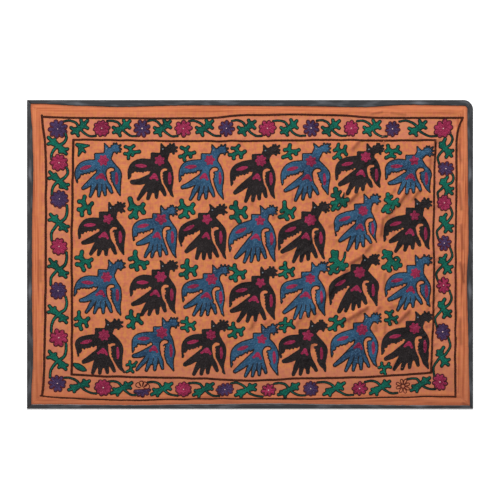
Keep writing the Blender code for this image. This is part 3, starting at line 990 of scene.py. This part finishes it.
# one that was never filled in: share of its length and of its half width, round from base to base
barePetal = ((0.32, 0.35), (0.60, 0.85), (0.85, 1.0), (1.05, 0.5), (1.05, -0.5), (0.85, -1.0), (0.60, -0.85),
             (0.32, -0.35))


def sewBarePetal(spot, petal):
    tip, half = petal[3, :2], petal[2, 2]
    across = np.array((-tip[1], tip[0])) / np.hypot(*tip)
    loop = toRug(smoothLine([share * tip + part * half * across for share, part in barePetal]), spot)
    rows.setdefault("bare petal", []).append((onCloth(loop, sewing["rowLift"]), linksAlong(loop)))


def sewFlower(rng, x0, y0, across, up, colour, turned=0.0):
    spot = (x0, y0, turned + rng.uniform(-border["turn"], border["turn"]))
    count = border["petals"][0] if colour == "outline" else rng.integers(*border["petals"])
    petals = petalCircles(across, up, petalFatness[colour], count, rng.uniform(0, 0.6), rng)
    middle = [(0, 0, 0.55 * min(across, up))]
    if colour == "half":
        middle += border["halfMiddle"]
    circles = np.vstack((*petals, middle))
    x, y = gridAround(circles)
    filled = unionField(circles, x, y)
    if colour == "half":                       # only its lower petals were ever filled in
        filled = np.minimum(filled, -3 - y + 0.1 * x)
    if colour != "outline":
        sew("purple" if colour == "half" else colour, spot, x, y, filled, outline="petal line")
    if colour in ("half", "outline"):
        for petal in petals:
            if colour == "outline" or petal[3, 1] > 6:
                sewBarePetal(spot, petal)
    else:
        knots["flower"].append((x0, y0, rng.uniform(*border["knot"])))


def sewSpray(start, end, side, rng):
    run = np.array(end[:2], dtype=float) - start[:2]
    stretch = np.hypot(*run) / border["pitch"]
    spot = (*(np.add(start[:2], end[:2]) / 2), math.degrees(math.atan2(run[1], run[0])))
    low = border["flatter"].get(side, 1.0)
    thick = border["vine"][side]
    endX, endY = border["vineEnd"][side]

    def near(x, y, radius):
        stray = rng.normal(0, border["stray"], 2)
        return x * stretch + stray[0], y * low + stray[1], radius * thick

    parts = [stroke((-endX * stretch, endY, 4.6 * thick), near(-46, 38, 4.8), near(-21, 29, 5.2),
                    near(-7, 12, 6.0), near(3, -3, 6.0), near(19, -19, 5.2), near(44, -34, 4.6),
                    (endX * stretch, -endY, 4.4 * thick))]
    for tips in sprayLeaves[side]:
        tips = border["spread"] * np.array(tips, dtype=float)
        body = border["leafAt"] * tips.mean(0) + rng.normal(0, border["stray"], 2)
        parts.append(stroke((0, 0, 9.5), (*body, border["leaf"])))
        for tip in tips:
            end = tip - (tip - body) / np.hypot(*(tip - body)) * border["lobe"]
            end = end + rng.normal(0, border["stray"], 2)
            parts.append(stroke((*body, 0.85 * border["leaf"]), (*(0.5 * (body + end)), 9.0),
                                (*end, border["lobe"])))
    sewStrokes(spot, parts)


def sewLines(rng):
    for halfGap, line in borderLines:
        path = smoothLine(line, gap=border["lineStep"])
        ahead = np.gradient(path, axis=0)
        across = np.column_stack((-ahead[:, 1], ahead[:, 0])) / np.hypot(*ahead.T)[:, None]
        distance = np.arange(len(path)) * border["lineStep"]
        wobble = border["wobble"] * waves(rng, distance, border["wobbleLength"])[:, None]
        for side in (-1, 0, 1):
            points = path + across * (wobble + side * halfGap)
            rows.setdefault("dark line", []).append((onCloth(points, sewing["rowLift"]), linksAlong(path)))


# Threads: the stitches' size, and what their material is made of

stitch = {
    "spacing": 0.0068,
    "length": 0.0108,
    "width": 0.0047,
    "height": 0.0014,
    "uneven": 0.16,           # how much the sizes differ
    "stray": 0.16,            # of a stitch's direction from its row's
    "seed": 3,
    "toneSeed": 17,
}

# how flat a knot is, how high over the cloth it sits in mm, and its two colours
knot = {"flatness": 0.32, "lift": 1.1, "flower": ("#b58f8f", "#d8b9b0"), "eye": ("#525d68", "#727c86")}

# thick and apart: a stitch's width, and its length and spacing, over the usual ones
threads = {
    "blue": {"piece": "blue_bird", "slot": "blue_thread", "thick": 1.0, "apart": 1.0,
             "deep": "#1f3b57", "main": "#2a5676", "pale": "#567f9e"},
    "black": {"piece": "black", "slot": "black_thread", "thick": 1.52, "apart": 0.72,
              "deep": "#161112", "main": "#231c1d", "pale": "#3a3435"},
    "fine black": {"piece": "fine_black", "slot": "black_thread", "thick": 1.33, "apart": 0.76,
                   "deep": "#0b1210", "main": "#121a17", "pale": "#222b27"},
    "crimson": {"piece": "crimson", "slot": "crimson_thread", "thick": 1.0, "apart": 1.0,
                "deep": "#781638", "main": "#99234a", "pale": "#b2476a"},
    "purple": {"piece": "purple", "slot": "purple_thread", "thick": 1.0, "apart": 1.0,
               "deep": "#2f1f40", "main": "#412d52", "pale": "#634c77"},
    "green": {"piece": "green", "slot": "green_thread", "thick": 1.0, "apart": 1.0,
              "deep": "#004238", "main": "#00614f", "pale": "#10856e"},
    "dark line": {"piece": "border_line", "slot": "brown_thread", "thick": 1.35, "apart": 0.86,
                  "deep": "#2e0e04", "main": "#421606", "pale": "#5a2b18"},
    "petal line": {"piece": "petal_outline", "slot": "brown_thread", "thick": 1.36, "apart": 0.76,
                   "deep": "#380c16", "main": "#4c121f", "pale": "#66282f"},
    "bare petal": {"piece": "bare_petal", "slot": "brown_thread", "thick": 1.1, "apart": 0.75,
                   "deep": "#44120c", "main": "#591a10", "pale": "#7a3322"},
}


def threadMaterial(name, look):
    # Silk floss: a soft sheen, colour that changes slowly along the rug from bath to bath of dye
    material, tree, shader = newMaterial(f"{name} silk floss, chain stitched", {
        "Roughness": 0.62, "Specular IOR Level": 0.14, "Sheen Weight": 0.03, "Sheen Roughness": 0.45})
    where = addNode(tree, "ShaderNodeTexCoord").outputs["Object"]
    bath = addNode(tree, "ShaderNodeTexNoise", inputs={"Vector": where, "Scale": 9.0, "Detail": 3.0})
    dyed = addNode(tree, "ShaderNodeMapRange", inputs={"Value": bath.outputs["Fac"], 1: 0.35, 2: 0.62})
    base = addNode(tree, "ShaderNodeMix", {"data_type": "RGBA"},
                   {0: dyed.outputs[0], 6: hexColor(look["deep"]), 7: hexColor(look["main"])})
    tone = addNode(tree, "ShaderNodeAttribute", {"attribute_name": "tone"})
    lit = addNode(tree, "ShaderNodeMath", {"operation": "POWER"}, {0: tone.outputs["Fac"], 1: 3.0})
    part = addNode(tree, "ShaderNodeMath", {"operation": "MULTIPLY"}, {0: lit.outputs[0], 1: 0.45})
    colour = addNode(tree, "ShaderNodeMix", {"data_type": "RGBA"},
                     {0: part.outputs[0], 6: base.outputs[2], 7: hexColor(look["pale"])})
    tree.links.new(colour.outputs[2], shader.inputs["Base Color"])
    # strands of the floss are about 0.3 mm; drawn at 1.2 mm to show
    strand = addNode(tree, "ShaderNodeTexNoise", inputs={"Vector": where, "Scale": 830.0, "Detail": 2.0})
    bump = addNode(tree, "ShaderNodeBump", inputs={"Strength": 0.35, "Distance": 0.0004,
                                                   "Height": strand.outputs["Fac"]})
    tree.links.new(bump.outputs[0], shader.inputs["Normal"])
    return material


def knotMaterial(name, dark, pale):
    # Undyed cotton knots, dull and a little stained by the dyes round them
    material, tree, shader = newMaterial(f"undyed cotton, {name} knots", {"Roughness": 0.8})
    where = addNode(tree, "ShaderNodeTexCoord").outputs["Object"]
    # the fuzz of cotton is finer than 0.1 mm; drawn at 2.4 mm to show
    fuzz = addNode(tree, "ShaderNodeTexNoise", inputs={"Vector": where, "Scale": 420.0, "Detail": 3.0})
    colour = addNode(tree, "ShaderNodeMix", {"data_type": "RGBA"},
                     {0: fuzz.outputs["Fac"], 6: hexColor(dark), 7: hexColor(pale)})
    tree.links.new(colour.outputs[2], shader.inputs["Base Color"])
    bump = addNode(tree, "ShaderNodeBump", inputs={"Strength": 0.5, "Distance": 0.0005,
                                                   "Height": fuzz.outputs["Fac"]})
    tree.links.new(bump.outputs[0], shader.inputs["Normal"])
    return material


def newTree(name, sockets, result):
    tree = bpy.data.node_groups.new(name, "GeometryNodeTree")
    for socket, kind in sockets.items():
        tree.interface.new_socket(socket, in_out="INPUT", socket_type="NodeSocket" + kind)
    tree.interface.new_socket(result, in_out="OUTPUT", socket_type="NodeSocketGeometry")
    return tree, addNode(tree, "NodeGroupInput").outputs


def endTree(tree, instances, thread):
    real = addNode(tree, "GeometryNodeRealizeInstances", inputs={"Geometry": instances})
    dressed = addNode(tree, "GeometryNodeSetMaterial",
                      inputs={"Geometry": real.outputs[0], "Material": thread})
    addNode(tree, "NodeGroupOutput", inputs={0: dressed.outputs[0]})
    return tree


def stitchTree():
    tree, given = newTree("Chain stitch rows", {
        "Rows": "Geometry", "Spacing": "Float", "Length": "Float", "Width": "Float", "Height": "Float",
        "Uneven": "Float", "Seed": "Int", "Thread": "Material"}, "Stitches")
    path = addNode(tree, "GeometryNodeMeshToCurve", inputs={"Mesh": given["Rows"]})
    even = addNode(tree, "GeometryNodeResampleCurve", {"mode": "LENGTH"},
                   {"Curve": path.outputs[0], "Length": given["Spacing"]})
    loop = addNode(tree, "GeometryNodeMeshUVSphere", inputs={"Segments": 5, "Rings": 2, "Radius": 0.52})
    heading = addNode(tree, "GeometryNodeInputTangent")
    most = stitch["stray"]
    stray = addNode(tree, "FunctionNodeRandomValue", {"data_type": "FLOAT_VECTOR"},
                    {0: (-most, -most, 0.0), 1: (most, most, 0.0), "Seed": given["Seed"]})
    aim = addNode(tree, "ShaderNodeVectorMath", {"operation": "ADD"},
                  {0: heading.outputs[0], 1: stray.outputs[0]})
    turn = addNode(tree, "FunctionNodeAlignRotationToVector", {"axis": "X", "pivot_axis": "Z"},
                   {"Vector": aim.outputs[0]})
    thin = addNode(tree, "ShaderNodeMath", {"operation": "SUBTRACT"}, {0: 1.0, 1: given["Uneven"]})
    thick = addNode(tree, "ShaderNodeMath", {"operation": "ADD"}, {0: 1.0, 1: given["Uneven"]})
    vary = addNode(tree, "FunctionNodeRandomValue", {"data_type": "FLOAT"},
                   {2: thin.outputs[0], 3: thick.outputs[0], "Seed": given["Seed"]})
    size = addNode(tree, "ShaderNodeCombineXYZ",
                   inputs={"X": given["Length"], "Y": given["Width"], "Z": given["Height"]})
    scaled = addNode(tree, "ShaderNodeVectorMath", {"operation": "SCALE"},
                     {0: size.outputs[0], "Scale": vary.outputs[1]})
    laid = addNode(tree, "GeometryNodeInstanceOnPoints",
                   inputs={"Points": even.outputs[0], "Instance": loop.outputs[0],
                           "Rotation": turn.outputs[0], "Scale": scaled.outputs[0]})
    shade = addNode(tree, "FunctionNodeRandomValue", {"data_type": "FLOAT"},
                    {2: 0.0, 3: 1.0, "Seed": stitch["toneSeed"]})
    toned = addNode(tree, "GeometryNodeStoreNamedAttribute", {"data_type": "FLOAT", "domain": "INSTANCE"},
                    {"Geometry": laid.outputs[0], "Name": "tone", "Value": shade.outputs[1]})
    return endTree(tree, toned.outputs[0], given["Thread"])


def knotTree():
    tree, given = newTree("Knots", {"Places": "Geometry", "Flatness": "Float", "Thread": "Material"}, "Knots")
    ball = addNode(tree, "GeometryNodeMeshUVSphere", inputs={"Segments": 8, "Rings": 5, "Radius": 1.0})
    radius = addNode(tree, "GeometryNodeInputNamedAttribute", {"data_type": "FLOAT"}, {"Name": "radius"})
    low = addNode(tree, "ShaderNodeMath", {"operation": "MULTIPLY"},
                  {0: radius.outputs[0], 1: given["Flatness"]})
    size = addNode(tree, "ShaderNodeCombineXYZ",
                   inputs={"X": radius.outputs[0], "Y": radius.outputs[0], "Z": low.outputs[0]})
    tied = addNode(tree, "GeometryNodeInstanceOnPoints",
                   inputs={"Points": given["Places"], "Instance": ball.outputs[0], "Scale": size.outputs[0]})
    return endTree(tree, tied.outputs[0], given["Thread"])


def runTree(obj, tree, values):
    modifier = obj.modifiers.new(tree.name, "NODES")
    modifier.node_group = tree
    for socket in tree.interface.items_tree:
        if socket.in_out == "INPUT" and socket.name in values:
            modifier[socket.identifier] = values[socket.name]
    bakeModifiers(obj)
    obj.data.shade_smooth()
    mapFromAbove(obj.data)


def joinParts(name, parts):
    mesh = bpy.data.meshes.new(name)
    offsets = np.cumsum([0] + [len(points) for points, _ in parts[:-1]])
    points = np.vstack([points for points, _ in parts])
    links = np.vstack([link + offset for (_, link), offset in zip(parts, offsets)])
    if links.shape[1] == 2:
        mesh.from_pydata(points.tolist(), links.tolist(), [])
    else:
        mesh.from_pydata(points.tolist(), [], links.tolist())
    return newObject(name, mesh)


def makeStitches(name, parts, tree, material, size=1.0, spacing=1.0):
    obj = joinParts(name, parts)
    runTree(obj, tree, {
        "Spacing": stitch["spacing"] * spacing, "Length": stitch["length"] * spacing,
        "Width": stitch["width"] * size, "Height": stitch["height"], "Uneven": stitch["uneven"],
        "Seed": stitch["seed"], "Thread": material})
    return obj


def makeUnderlay(name, parts, material):
    obj = joinParts(name, parts)
    obj.data.materials.append(material)
    storeOnPoints(obj.data, "tone", np.full(len(obj.data.vertices), sewing["underlayShadeTone"]))
    layer = obj.modifiers.new("Underlay thickness", "SOLIDIFY")
    layer.thickness = sewing["underlayThickness"] * millimetre
    layer.offset = -1.0
    bakeModifiers(obj)
    mapFromAbove(obj.data)
    return obj


# Cloth materials

ground = {
    # soil and shade: the colour of soil, and of painted shade in the tucks, beside the binding and along the
    # folds
    "bright": "#c7794f", "main": "#b96846", "dull": "#9f583c", "soilAndShade": "#743722",
    "yellow": "#cc8340", "pink": "#bd6552", "margin": "#b7582e", "margin highlight": "#ca7a52",
    "border": "#ba7663",
    # the noises: scale over a metre, detail, roughness. The dye took unevenly, in spots some 15 mm across
    "noises": {"patches": (5.0, 6.0, 0.62), "blotches": (26.0, 4.0, 0.6), "spots": (62.0, 2.0, 0.5)},
    "spots": 0.48,            # how much of the colour the spots make up
    "streakStretch": (2.6, 105.0, 1.0),         # along an edge and in from it
    "streakMiddle": 0.48,     # what a side without streaks has all along
    "slubStretches": ((16.0, 420.0, 1.0), (420.0, 16.0, 1.0)),
    "slubShade": (0.90, 1.10),
    "tuckRelief": 8.0,        # the streaks' relief over the slubs'
    # each part of the colour: what it goes by, where it starts, where it is full, how strong it is there
    "parts": {
        "faded": ("patches", 0.36, 0.62, 1.0),
        "blotched": ("blotches", 0.47, 0.68, 0.85),
        "yellowed": ("spots", 0.38, 0.62, 1.0),
        "past outer line": ("fromEdge", 0.070, 0.090, 0.30),
        "before inner line": ("fromEdge", 0.200, 0.175, 1.0),
        "outside": ("fromEdge", 0.088, 0.052, 1.0),
        "margin": ("fromEdge", 0.088, 0.052, 0.8),
        # painted highlight: the margin paler along the tucks' ridges, over its own redder dye
        "streakHighlight": ("streak", 0.36, 0.60, 1.0),
        # painted shade in the hollows of the margin tucks
        "hollow": ("streak", 0.48, 0.34, 0.75),
        # painted shade on the cloth beside the binding, where it rises to the binding
        "bindingShade": ("fromBinding", 0.010, 0.0, 0.6),
        # painted shade: darker towards the right and, more, towards the bottom
        "right": ("X", 0.0, 1.0, 0.06),
        "lower": ("Y", -0.45, -0.64, 0.40),
        # soil and painted shade along the sharp folds
        "creaseSoilAndShade": ("crease", 0.0, 1.0, 0.8),
    },
}


def groundMaterial():
    # Handloom cotton, dyed orange: dull, slubbed both ways, faded in patches, redder in its margins
    material, tree, shader = newMaterial("handloom cotton, dyed orange", {
        "Roughness": 0.86, "Specular IOR Level": 0.22, "Sheen Weight": 0.10})
    where = addNode(tree, "ShaderNodeTexCoord").outputs["Object"]
    place = addNode(tree, "ShaderNodeSeparateXYZ", inputs={0: where})
    found = {"X": place.outputs["X"], "Y": place.outputs["Y"]}
    for name in ("fromEdge", "alongEdge", "streaks", "fromBinding", "crease"):
        found[name] = addNode(tree, "ShaderNodeAttribute", {"attribute_name": name}).outputs["Fac"]
    for name, (scale, detail, roughness) in ground["noises"].items():
        found[name] = addNode(tree, "ShaderNodeTexNoise", inputs={
            "Vector": where, "Scale": scale, "Detail": detail, "Roughness": roughness}).outputs["Fac"]
    lengthwise = addNode(tree, "ShaderNodeCombineXYZ",
                         inputs={"X": found["alongEdge"], "Y": found["fromEdge"]})
    drawn = addNode(tree, "ShaderNodeVectorMath", {"operation": "MULTIPLY"},
                    {0: lengthwise.outputs[0], 1: ground["streakStretch"]})
    streak = addNode(tree, "ShaderNodeTexNoise",
                     inputs={"Vector": drawn.outputs[0], "Scale": 1.0, "Detail": 3.0, "Roughness": 0.55})
    found["streak"] = addNode(tree, "ShaderNodeMix", {"data_type": "FLOAT"}, {
        0: found["streaks"], 2: ground["streakMiddle"], 3: streak.outputs["Fac"]}).outputs[0]

    part = {}
    for name, (source, start, full, strength) in ground["parts"].items():
        part[name] = addNode(tree, "ShaderNodeMapRange", inputs={
            "Value": found[source], 1: start, 2: full, 4: strength}).outputs[0]
    for name, operation, first, second in (
            ("border", "MULTIPLY", "past outer line", "before inner line"),
            ("hollow", "MULTIPLY", "outside", "hollow"), ("falloffShade", "ADD", "right", "lower")):
        part[name] = addNode(tree, "ShaderNodeMath", {"operation": operation},
                             {0: part[first], 1: part[second]}).outputs[0]
    shaded = {}
    for name, low, high in (("faded", "main", "bright"), ("yellowed", "pink", "yellow"),
                            ("streakHighlight", "margin", "margin highlight")):
        shaded[name] = addNode(tree, "ShaderNodeMix", {"data_type": "RGBA"}, {
            0: part[name], 6: hexColor(ground[low]), 7: hexColor(ground[high])}).outputs[2]
    dull, soilAndShade = hexColor(ground["dull"]), hexColor(ground["soilAndShade"])
    colour = shaded["faded"]
    for share, over in (
            (part["blotched"], dull), (ground["spots"], shaded["yellowed"]),
            (part["border"], hexColor(ground["border"])),       # less faded, so a little pinker
            # the margin's own redder dye, with painted highlight along the tucks' ridges
            (part["margin"], shaded["streakHighlight"]),
            (part["hollow"], soilAndShade), (part["bindingShade"], soilAndShade),      # painted shade in the tucks' hollows and beside the binding
            (part["falloffShade"], dull), (part["creaseSoilAndShade"], soilAndShade)):    # painted shade, darker towards the right and the bottom; then soil and painted shade along the sharp folds
        colour = addNode(tree, "ShaderNodeMix", {"data_type": "RGBA"},
                         {0: share, 6: colour, 7: over}).outputs[2]

    # slubs: threads are about 0.5 mm; drawn at 2.4 mm to show
    slubs = []
    for stretch in ground["slubStretches"]:
        pulled = addNode(tree, "ShaderNodeVectorMath", {"operation": "MULTIPLY"}, {0: where, 1: stretch})
        slubs.append(addNode(tree, "ShaderNodeTexNoise", inputs={
            "Vector": pulled.outputs[0], "Scale": 1.0, "Detail": 2.0}).outputs["Fac"])
    threadwise = addNode(tree, "ShaderNodeMath", {"operation": "ADD"}, {0: slubs[0], 1: slubs[1]})
    dark, light = ground["slubShade"]
    shade = addNode(tree, "ShaderNodeMapRange",
                    inputs={"Value": threadwise.outputs[0], 1: 0.75, 2: 1.25, 3: dark, 4: light})
    slubbed = addNode(tree, "ShaderNodeVectorMath", {"operation": "SCALE"},
                      {0: colour, "Scale": shade.outputs[0]})
    tree.links.new(slubbed.outputs[0], shader.inputs["Base Color"])
    tucked = addNode(tree, "ShaderNodeMath", {"operation": "MULTIPLY"},
                     {0: part["outside"], 1: found["streak"]})
    relief = addNode(tree, "ShaderNodeMath", {"operation": "MULTIPLY_ADD"},
                     {0: tucked.outputs[0], 1: ground["tuckRelief"], 2: threadwise.outputs[0]})
    bump = addNode(tree, "ShaderNodeBump",
                   inputs={"Strength": 0.6, "Distance": 0.0005, "Height": relief.outputs[0]})
    tree.links.new(bump.outputs[0], shader.inputs["Normal"])
    return material


satin = {
    "deep": "#1c1d20", "main": "#303135", "sheenPatch": "#64666c", "rim": "#18171a",
    # the noises: scale over a metre along the tape and across it, detail, roughness
    "noises": {"streaks": ((7.0, 240.0, 1.0), 4.0, 0.6), "patches": ((9.0, 40.0, 1.0), 2.0, 0.5)},
    # laid over the deep colour in turn: painted sheen in lengthwise streaks, painted highlights in patches,
    # and painted shade along the very edge of the fold
    "parts": {"main": ("streaks", 0.38, 0.66, 1.0), "sheenPatch": ("patches", 0.50, 0.74, 0.8),
              "rim": ("across", 0.009, 0.003, 0.7)},
}


def satinMaterial():
    # Warp-faced satin: smooth floats lie along the tape; their shine is painted into the colour as lighter
    # lengthwise streaks
    material, tree, shader = newMaterial("slate satin tape", {"Roughness": 0.42, "Sheen Weight": 0.15})
    along, across = [addNode(tree, "ShaderNodeAttribute", {"attribute_name": name}).outputs["Fac"]
                     for name in ("alongEdge", "acrossLeaf")]
    spread = addNode(tree, "ShaderNodeCombineXYZ", inputs={"X": along, "Y": across})
    found = {"across": across}
    for name, (stretch, detail, roughness) in satin["noises"].items():
        drawn = addNode(tree, "ShaderNodeVectorMath", {"operation": "MULTIPLY"},
                        {0: spread.outputs[0], 1: stretch})
        noise = addNode(tree, "ShaderNodeTexNoise", inputs={
            "Vector": drawn.outputs[0], "Scale": 1.0, "Detail": detail, "Roughness": roughness})
        found[name] = noise.outputs["Fac"]
    colour = hexColor(satin["deep"])
    for over, (source, start, full, strength) in satin["parts"].items():
        part = addNode(tree, "ShaderNodeMapRange",
                       inputs={"Value": found[source], 1: start, 2: full, 4: strength})
        colour = addNode(tree, "ShaderNodeMix", {"data_type": "RGBA"},
                         {0: part.outputs[0], 6: colour, 7: hexColor(satin[over])}).outputs[2]
    tree.links.new(colour, shader.inputs["Base Color"])
    bump = addNode(tree, "ShaderNodeBump",
                   inputs={"Strength": 0.4, "Distance": 0.0004, "Height": found["streaks"]})
    tree.links.new(bump.outputs[0], shader.inputs["Normal"])
    return material


# Stage, light and camera

studio = {
    "photoWidth": 2.3543,     # what the photograph takes in, side to side
    "photoMiddle": 0.0204,    # the rug lies this much below the middle of the frame
    "lens": 135.0,
    "sensor": 36.0,
    "world": 0.45,
    "keyPower": 1450.0,
    "keySize": 4.6,
    "keyPlace": (-1.0, 8.6, 4.8),    # low, from beyond the top side, so that folds show
    "floorSize": 14.0,
    "floorWhite": 0.93,
    "floorGlow": 0.25,        # lifts the floor to the photograph's white
}


def makeStudio():
    scene = bpy.context.scene
    scene.view_settings.view_transform = "Standard"
    lens = bpy.data.cameras.new("above")
    lens.lens, lens.sensor_width = studio["lens"], studio["sensor"]
    camera = newObject("above", lens)
    camera.location = (0.0, studio["photoMiddle"], studio["photoWidth"] * studio["lens"] / studio["sensor"])
    scene.camera = camera

    lamp = bpy.data.lights.new("key", "AREA")
    lamp.energy, lamp.size = studio["keyPower"], studio["keySize"]
    key = newObject("key", lamp)
    key.location = studio["keyPlace"]
    key.rotation_euler = (Vector((0, 0, 0)) - key.location).to_track_quat("-Z", "Y").to_euler()

    world = bpy.data.worlds.new("white room")
    world.use_nodes = True
    sky = world.node_tree.nodes["Background"]
    sky.inputs["Color"].default_value = (1.0, 1.0, 1.0, 1.0)
    sky.inputs["Strength"].default_value = studio["world"]
    scene.world = world

    bpy.ops.mesh.primitive_plane_add(size=studio["floorSize"])
    floor = bpy.context.object
    floor.name = "floor"
    # Matt white paint, with no gloss at all
    paint, _, _ = newMaterial("matt white floor", {
        "Base Color": (*[studio["floorWhite"]] * 3, 1.0), "Roughness": 1.0, "Specular IOR Level": 0.0,
        "Emission Color": (1.0, 1.0, 1.0, 1.0), "Emission Strength": studio["floorGlow"]})
    floor.data.materials.append(paint)


# Assembly

makeStudio()

longSide = (cloth["halfLength"], cloth["halfWidth"])
shortSide = (cloth["halfWidth"], cloth["halfLength"])
strips, seams = {}, []
for side, size, rounded, put in (
        ("top", longSide, True, lambda along, out: (along, out)),
        ("bottom", longSide, False, lambda along, out: (along, -out)),
        ("left", shortSide, False, lambda along, out: (-out, along)),
        ("right", shortSide, True, lambda along, out: (out, along))):
    strips[side], seam = makeBinding(side, *size, rounded, put)
    seams.append(seam)
slate = satinMaterial()
for strip in strips.values():
    strip.data.materials.append(slate)
print("binding: four strips")

birdRandom = np.random.default_rng(bird["seed"])
sprigRandom = np.random.default_rng(sprig["seed"])
borderRandom = np.random.default_rng(border["seed"])
for rowNumber, spots in enumerate(birdRows):
    for column, (rosette, *pose) in enumerate(spots):
        thread = "blue" if (rowNumber + column) % 2 == 0 else "black bird"
        sewBird(thread, (*np.add(rosette, bird["offset"]), 0.0), pose, birdRandom)
    print("row", rowNumber + 1, "of birds drawn")
for place, *tips in sprigs:
    sewSprig(place, tips, sprigRandom)
for place, strokes in cornerLeaves.items():
    sewStrokes((*place, 0.0), [stroke(*points) for points in strokes])

for flower in topFlowers + rightFlowers + leftFlowers + bottomFlowers:
    sewFlower(borderRandom, *flower)
for side, run in (("top", topFlowers), ("right", (topFlowers[-1], *rightFlowers)),
                  ("left", (topFlowers[0], *leftFlowers)),
                  ("bottom", (leftFlowers[-1], *bottomFlowers, rightFlowers[-1]))):
    for start, end in zip(run, run[1:]):
        sewSpray(start, end, side, borderRandom)
sewLines(borderRandom)
print("border drawn")

sheet = makeGround()
sheet.data.materials.append(groundMaterial())
print("ground sheet:", len(sheet.data.polygons), "faces")

threads["black bird"] = {**threads["black"], "piece": "black_bird", "thick": 1.0, "apart": 1.0}
stitches = stitchTree()
sewn, triangles = [], 0
for thread, look in threads.items():
    material = threadMaterial(thread, look)
    if thread in rows:
        obj = makeStitches(look["piece"] + "_stitches", rows[thread], stitches, material,
                           look["thick"], look["apart"])
        sewn.append((obj, look["slot"]))
    if thread in underlays:
        obj = makeUnderlay(look["piece"] + "_underlay", underlays[thread], material)
        sewn.append((obj, look["slot"]))
hem = makeStitches("binding_hem_stitches", seams, stitches, threadMaterial("slate hem", binding["hemThread"]),
                   *binding["hemStitch"])
sewn.append((hem, "satin_binding"))

tied = knotTree()
for name, places in knots.items():
    places = np.array(places)
    mesh = bpy.data.meshes.new(name + "_knots")
    mesh.from_pydata(onCloth(places[:, :2], knot["lift"]).tolist(), [], [])
    storeOnPoints(mesh, "radius", places[:, 2] * millimetre)
    obj = newObject(name + "_knots", mesh)
    runTree(obj, tied, {"Flatness": knot["flatness"], "Thread": knotMaterial(name, *knot[name])})
    sewn.append((obj, "pale_thread"))

for obj in [sheet, *strips.values(), *[piece for piece, _ in sewn]]:
    count = sum(len(face.vertices) - 2 for face in obj.data.polygons)
    triangles += count
    print("  ", obj.name, count, "triangles")
print("embroidery sewn; the rug has", triangles, "triangles")

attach(sheet, "root")
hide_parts("ground_cloth")
for side, strip in strips.items():
    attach(strip, "root")
    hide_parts("binding_" + side)
for obj, slot in sewn:
    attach(obj, "root")
